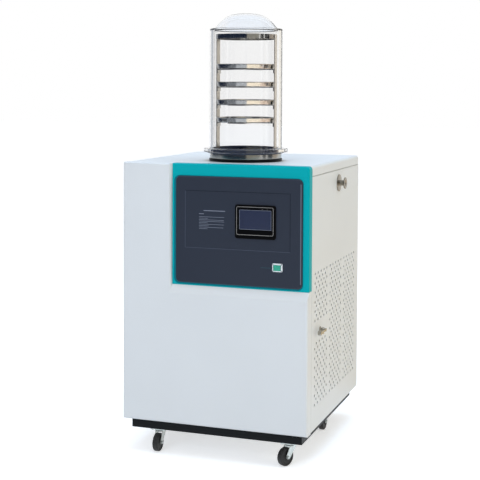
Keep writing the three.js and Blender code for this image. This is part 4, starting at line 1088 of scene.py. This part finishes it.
# %% Castors
king_low, king_high = box_mm("caster_plate_front_left")
wheel_low, wheel_high = box_mm("caster_wheel_front_left")
CASTOR_HEIGHT = box_mm("base_frame")[0].z
WHEEL_R, TREAD = (wheel_high.z - wheel_low.z) / 2, wheel_high.x - wheel_low.x
TRAIL = (king_low.y + king_high.y - wheel_low.y - wheel_high.y) / 2
PLATE_TOP, CROWN_TOP = CASTOR_HEIGHT - 0.3, CASTOR_HEIGHT - 8.1
PLATE_HALF, PLATE_THICK, BOLT_AT, BOLT_R, BOLT_DROP = 28.0, 2.5, 21.0, 4.5, 6.0
RACE_R, RACE_DROP, KING_R, KING_DROP, KING_HEAD = 18.0, 7.5, 7.4, 14.5, 2.0
FORK_CROWN_R, CROWN_THICK, AXLE_R, AXLE_NUT_R, HUB_BORE_R = 19.5, 3.5, 3.7, 5.5, 4.2


def on_axle(bm):
    return shifted(transformed(bm, quarter), 0, -TRAIL, WHEEL_R)


def castor_plate():
    """The plate under the frame, with the ball race, the king pin's rivet and four bolt heads."""
    top, half = PLATE_TOP, PLATE_HALF
    flat = extruded(rectangle(-half, half, -half, half, 6), top - PLATE_THICK, top)
    race_low = top - RACE_DROP
    race = [(0, top - 2, 0), (RACE_R, top - 2, 0), (RACE_R + 0.5, race_low, 1.5), (0, race_low, 0)]
    rivet = washer(0, KING_R, top - KING_DROP, top - KING_DROP + KING_HEAD, (0, 1, 0, 0), 24)
    bolts = [
        shifted(washer(0, BOLT_R, top - BOLT_DROP, top - 2.4, segments=6), x, y)
        for x in (-BOLT_AT, BOLT_AT)
        for y in (-BOLT_AT, BOLT_AT)
    ]
    return merged(flat, turned(fillet(race), 48), rivet, *bolts)


def castor_fork():
    """The crown, its two cheeks, and the axle with its nuts."""
    cheek_x, thick, end_r, shoulder = TREAD / 2 + 1.3, 2.0, 6.5, 13.0
    outside = cheek_x + thick
    outline = [
        (shoulder, CROWN_TOP - 0.5, 0),
        (shoulder, CROWN_TOP - 9, 3),
        (-TRAIL + end_r + 1, WHEEL_R - end_r * 0.9, 5),
        (-TRAIL - end_r - 0.2, WHEEL_R - end_r * 0.9, 5),
        (-TRAIL - end_r, WHEEL_R + end_r, 6),
        (-shoulder, CROWN_TOP - 0.5, 0),
    ]
    cheeks = []
    for x in (-outside, cheek_x):
        cheek = extruded(fillet(outline), x, x + thick, along_side)
        cheeks.append(round_edges(cheek, lambda p: True, 0.4, 2))
    crown = washer(5.6, FORK_CROWN_R, CROWN_TOP - CROWN_THICK, CROWN_TOP, (0, 0.5, 3, 0), 48)
    axle = washer(0, AXLE_R, -outside, outside, segments=16)
    nuts = [
        washer(0, AXLE_NUT_R, start, end, (0, 0.8, 0.8, 0), 6)
        for start, end in ((outside, outside + 4), (-outside - 3, -outside))
    ]
    return merged(*cheeks, crown, on_axle(merged(axle, *nuts)))


def castor_wheel():
    """The hub, the web set back in it, and the round-shouldered tread."""
    w = TREAD / 2
    half = [
        (HUB_BORE_R, w, 0.3),
        (10, w, 0.8),
        (12, w - 2.5, 0.8),
        (WHEEL_R - 7, w - 2.5, 1),
        (WHEEL_R - 5, w - 0.6, 1),
        (WHEEL_R, w - 0.6, 4),
    ]
    profile = half + [(r, -z, rounding) for r, z, rounding in half[::-1]]
    return on_axle(turned(fillet(profile, 3), 64))


SPIN = "wheel_spin_"
spins = {j["name"].replace(SPIN, ""): j for j in frame["joints"] if j["name"].startswith(SPIN)}
for place, joint in spins.items():
    low, high = box_mm("caster_plate_" + place)
    x, y, _ = (low + high) / 2
    stand = Matrix.Translation((x, y, 0))
    across = Vector(joint["axis"])
    swivel = stand @ Matrix.Rotation(math.atan2(across.y, across.x), 4, "Z")
    piece("castor_plate_" + place, transformed(castor_plate(), stand), zinc, "caster_plate_" + place)
    piece("castor_fork_" + place, transformed(castor_fork(), swivel), zinc, "caster_fork_" + place)
    piece("castor_tyre_" + place, transformed(castor_wheel(), swivel), tyre, "caster_wheel_" + place)
print(len(spins), "castors")

# %% [markdown]
# ## Nodes that keep their own shape
# The frame's own solids are already right for the welded base, the rear sheet, the works inside and
# the small fittings, so they only take their finishes.

# %% Finishes on the frame's own nodes
uprights = [node for node in frame["nodes"] if node.startswith("upright_")]
own_finish = (
    (white_coat, "rear_panel"),
    (black_coat, "base_frame", "fan_shroud"),
    (galvanised, "base_pan", "control_enclosure", *uprights),
    (enamel_black, "compressor", "fan_motor"),
    (fin_stock, "condenser", "fan_impeller"),
    (copper, "suction_pipe", "discharge_pipe", "evaporator_coil"),
    (hose, "vacuum_pipe", "drain_pipe"),
    (insulation, "trap_insulation"),
    (abs_black, "power_inlet"),
)
for material, *nodes in own_finish:
    for node in nodes:
        mesh = frame["nodes"][node].data
        mesh.materials.clear()
        mesh.materials.append(material)

# %% [markdown]
# ## Studio
# A white floor runs out to a white surround. The world lights everything evenly; a wide panel in front
# and one overhead are a little cool and a window at the right is warm, which gives each side of a plain
# white cabinet its own tone. The lamps are hidden from reflections. Metal and acrylic are drawn by what
# they mirror, so coloured cards stand in a wide ring and lie on the floor round the machine. Only a ray
# that has been mirrored meets a card: one that goes straight through the jar sees the white surround.

# %% World and lamps
world = bpy.data.worlds.new("studio")
scene.world = world
world.use_nodes = True
sky = world.node_tree
sky.nodes.clear()


def either(tree, a, b):
    """One if a or b is one."""
    return add(tree, "ShaderNodeMath", {0: a, 1: b}, operation="MAXIMUM").outputs[0]


def sees_background(tree):
    """One for camera, glossy and transmission rays, and nothing for the rays that light the object."""
    rays = add(tree, "ShaderNodeLightPath").outputs
    direct = either(tree, rays["Is Camera Ray"], rays["Is Glossy Ray"])
    return either(tree, direct, rays["Is Transmission Ray"])


def mixed(tree, factor, first, second):
    shaders = {0: factor, 1: first.outputs[0], 2: second.outputs[0]}
    return add(tree, "ShaderNodeMixShader", shaders).outputs[0]


soft = add(sky, "ShaderNodeBackground", {"Color": srgb("#F4F7FB"), "Strength": 0.62})
white = add(sky, "ShaderNodeBackground", {"Color": (1, 1, 1, 1), "Strength": 1.0})
add(sky, "ShaderNodeOutputWorld", {"Surface": mixed(sky, sees_background(sky), soft, white)})


def area_lamp(name, place, target, size, watts, colour):
    data = bpy.data.lights.new(name, "AREA")
    data.shape = "SQUARE"
    data.size = size
    data.energy = watts
    data.color = srgb(colour)[:3]
    lamp = bpy.data.objects.new(name, data)
    scene.collection.objects.link(lamp)
    lamp.location = place
    lamp.rotation_euler = (Vector(target) - Vector(place)).to_track_quat("-Z", "Y").to_euler()
    lamp.visible_glossy = False
    lamp.visible_transmission = False


area_lamp("overhead_panel", (0.2, 0.1, 3.6), (0, 0, 0.5), 2.4, 63, "#BBDCFF")
area_lamp("front_panel", (-0.6, -4.2, 2.0), (0, 0, 0.7), 2.2, 62, "#E2EEFF")
area_lamp("right_window", (4.2, -0.6, 1.3), (0, 0, 0.7), 2.0, 39, "#FFEFC2")

# %% Floor
floor_material, floor_tree, floor_shader = new_material("studio_floor", Roughness=0.9)
floor_shader.inputs["Base Color"].default_value = srgb("#F2F3F4")
floor_shader.inputs["Specular IOR Level"].default_value = 0.1
lift = add(floor_tree, "ShaderNodeMath", {0: sees_background(floor_tree), 1: 0.5}, operation="MULTIPLY")
floor_shader.inputs["Emission Color"].default_value = (1, 1, 1, 1)
floor_tree.links.new(lift.outputs[0], floor_shader.inputs["Emission Strength"])


def staged(name, points, faces, material):
    """A floor or card: part of the studio, not of the machine."""
    mesh = bpy.data.meshes.new(name)
    mesh.from_pydata(points, [], faces)
    mesh.materials.append(material)
    obj = bpy.data.objects.new(name, mesh)
    scene.collection.objects.link(obj)
    return obj


FAR = 30  # metres
square = [(-FAR, -FAR, 0), (FAR, -FAR, 0), (FAR, FAR, 0), (-FAR, FAR, 0)]
staged("studio_floor", square, [(0, 1, 2, 3)], floor_material)

# %% Cards
STANDING = ((5.5, 0.02), (5.5, 3.2))  # (radius, height) of a card's two long edges, in metres
LYING = ((0.8, 0.006), (5.5, 0.02))
CARD_STEP = 6.0  # degrees


def card(name, edges, start, end, colour, strength=1.0):
    """An arc of card between two bearings in degrees, which only mirrored rays meet."""
    material = bpy.data.materials.new(name)
    material.use_nodes = True
    tree = material.node_tree
    tree.nodes.clear()
    glow = add(tree, "ShaderNodeEmission", {"Color": srgb(colour), "Strength": strength})
    clear = add(tree, "ShaderNodeBsdfTransparent")
    depth = add(tree, "ShaderNodeLightPath").outputs["Glossy Depth"]
    mirrored = add(tree, "ShaderNodeMath", {0: depth, 1: 0.5}, operation="GREATER_THAN").outputs[0]
    add(tree, "ShaderNodeOutputMaterial", {"Surface": mixed(tree, mirrored, clear, glow)})
    steps = max(1, round((end - start) / CARD_STEP))
    bearings = [math.radians(start + (end - start) * k / steps) for k in range(steps + 1)]
    points = [(r * math.cos(a), r * math.sin(a), z) for a in bearings for r, z in edges]
    faces = [(2 * k, 2 * k + 1, 2 * k + 3, 2 * k + 2) for k in range(steps)]
    obj = staged(name, points, faces, material)
    for rays in ("camera", "diffuse", "shadow", "volume_scatter"):
        setattr(obj, "visible_" + rays, False)


standing_cards = (
    ("left_grey", -222, -200, "#B4B9C0"),
    ("left_navy", -200, -69, "#273144"),
    ("right_grey", -69, -24, "#A5A299"),
    ("right_black", -18, -5, "#101013"),
    ("far_black", 1, 23, "#141416"),
    ("far_tan", 24, 50, "#C9BDB0"),
    ("side_cream", 50, 82, "#F6F1E8"),
    ("back_dark", 85, 95, "#2A2C31"),
)
floor_cards = (
    ("dark", -222, -150, "#5E6266"),
    ("slate", -150, -110, "#A0A6AE"),
    ("grey", -110, -68, "#EEF4FC"),
    ("cream", -68, -14, "#FFF2DC", 1.9),
    ("tan", -14, 50, "#F8DFCA", 1.5),
    ("side", 50, 84, "#F5E2BC"),
)
for name, *settings in standing_cards:
    card("card_" + name, STANDING, *settings)
for name, *settings in floor_cards:
    card("card_floor_" + name, LYING, *settings)
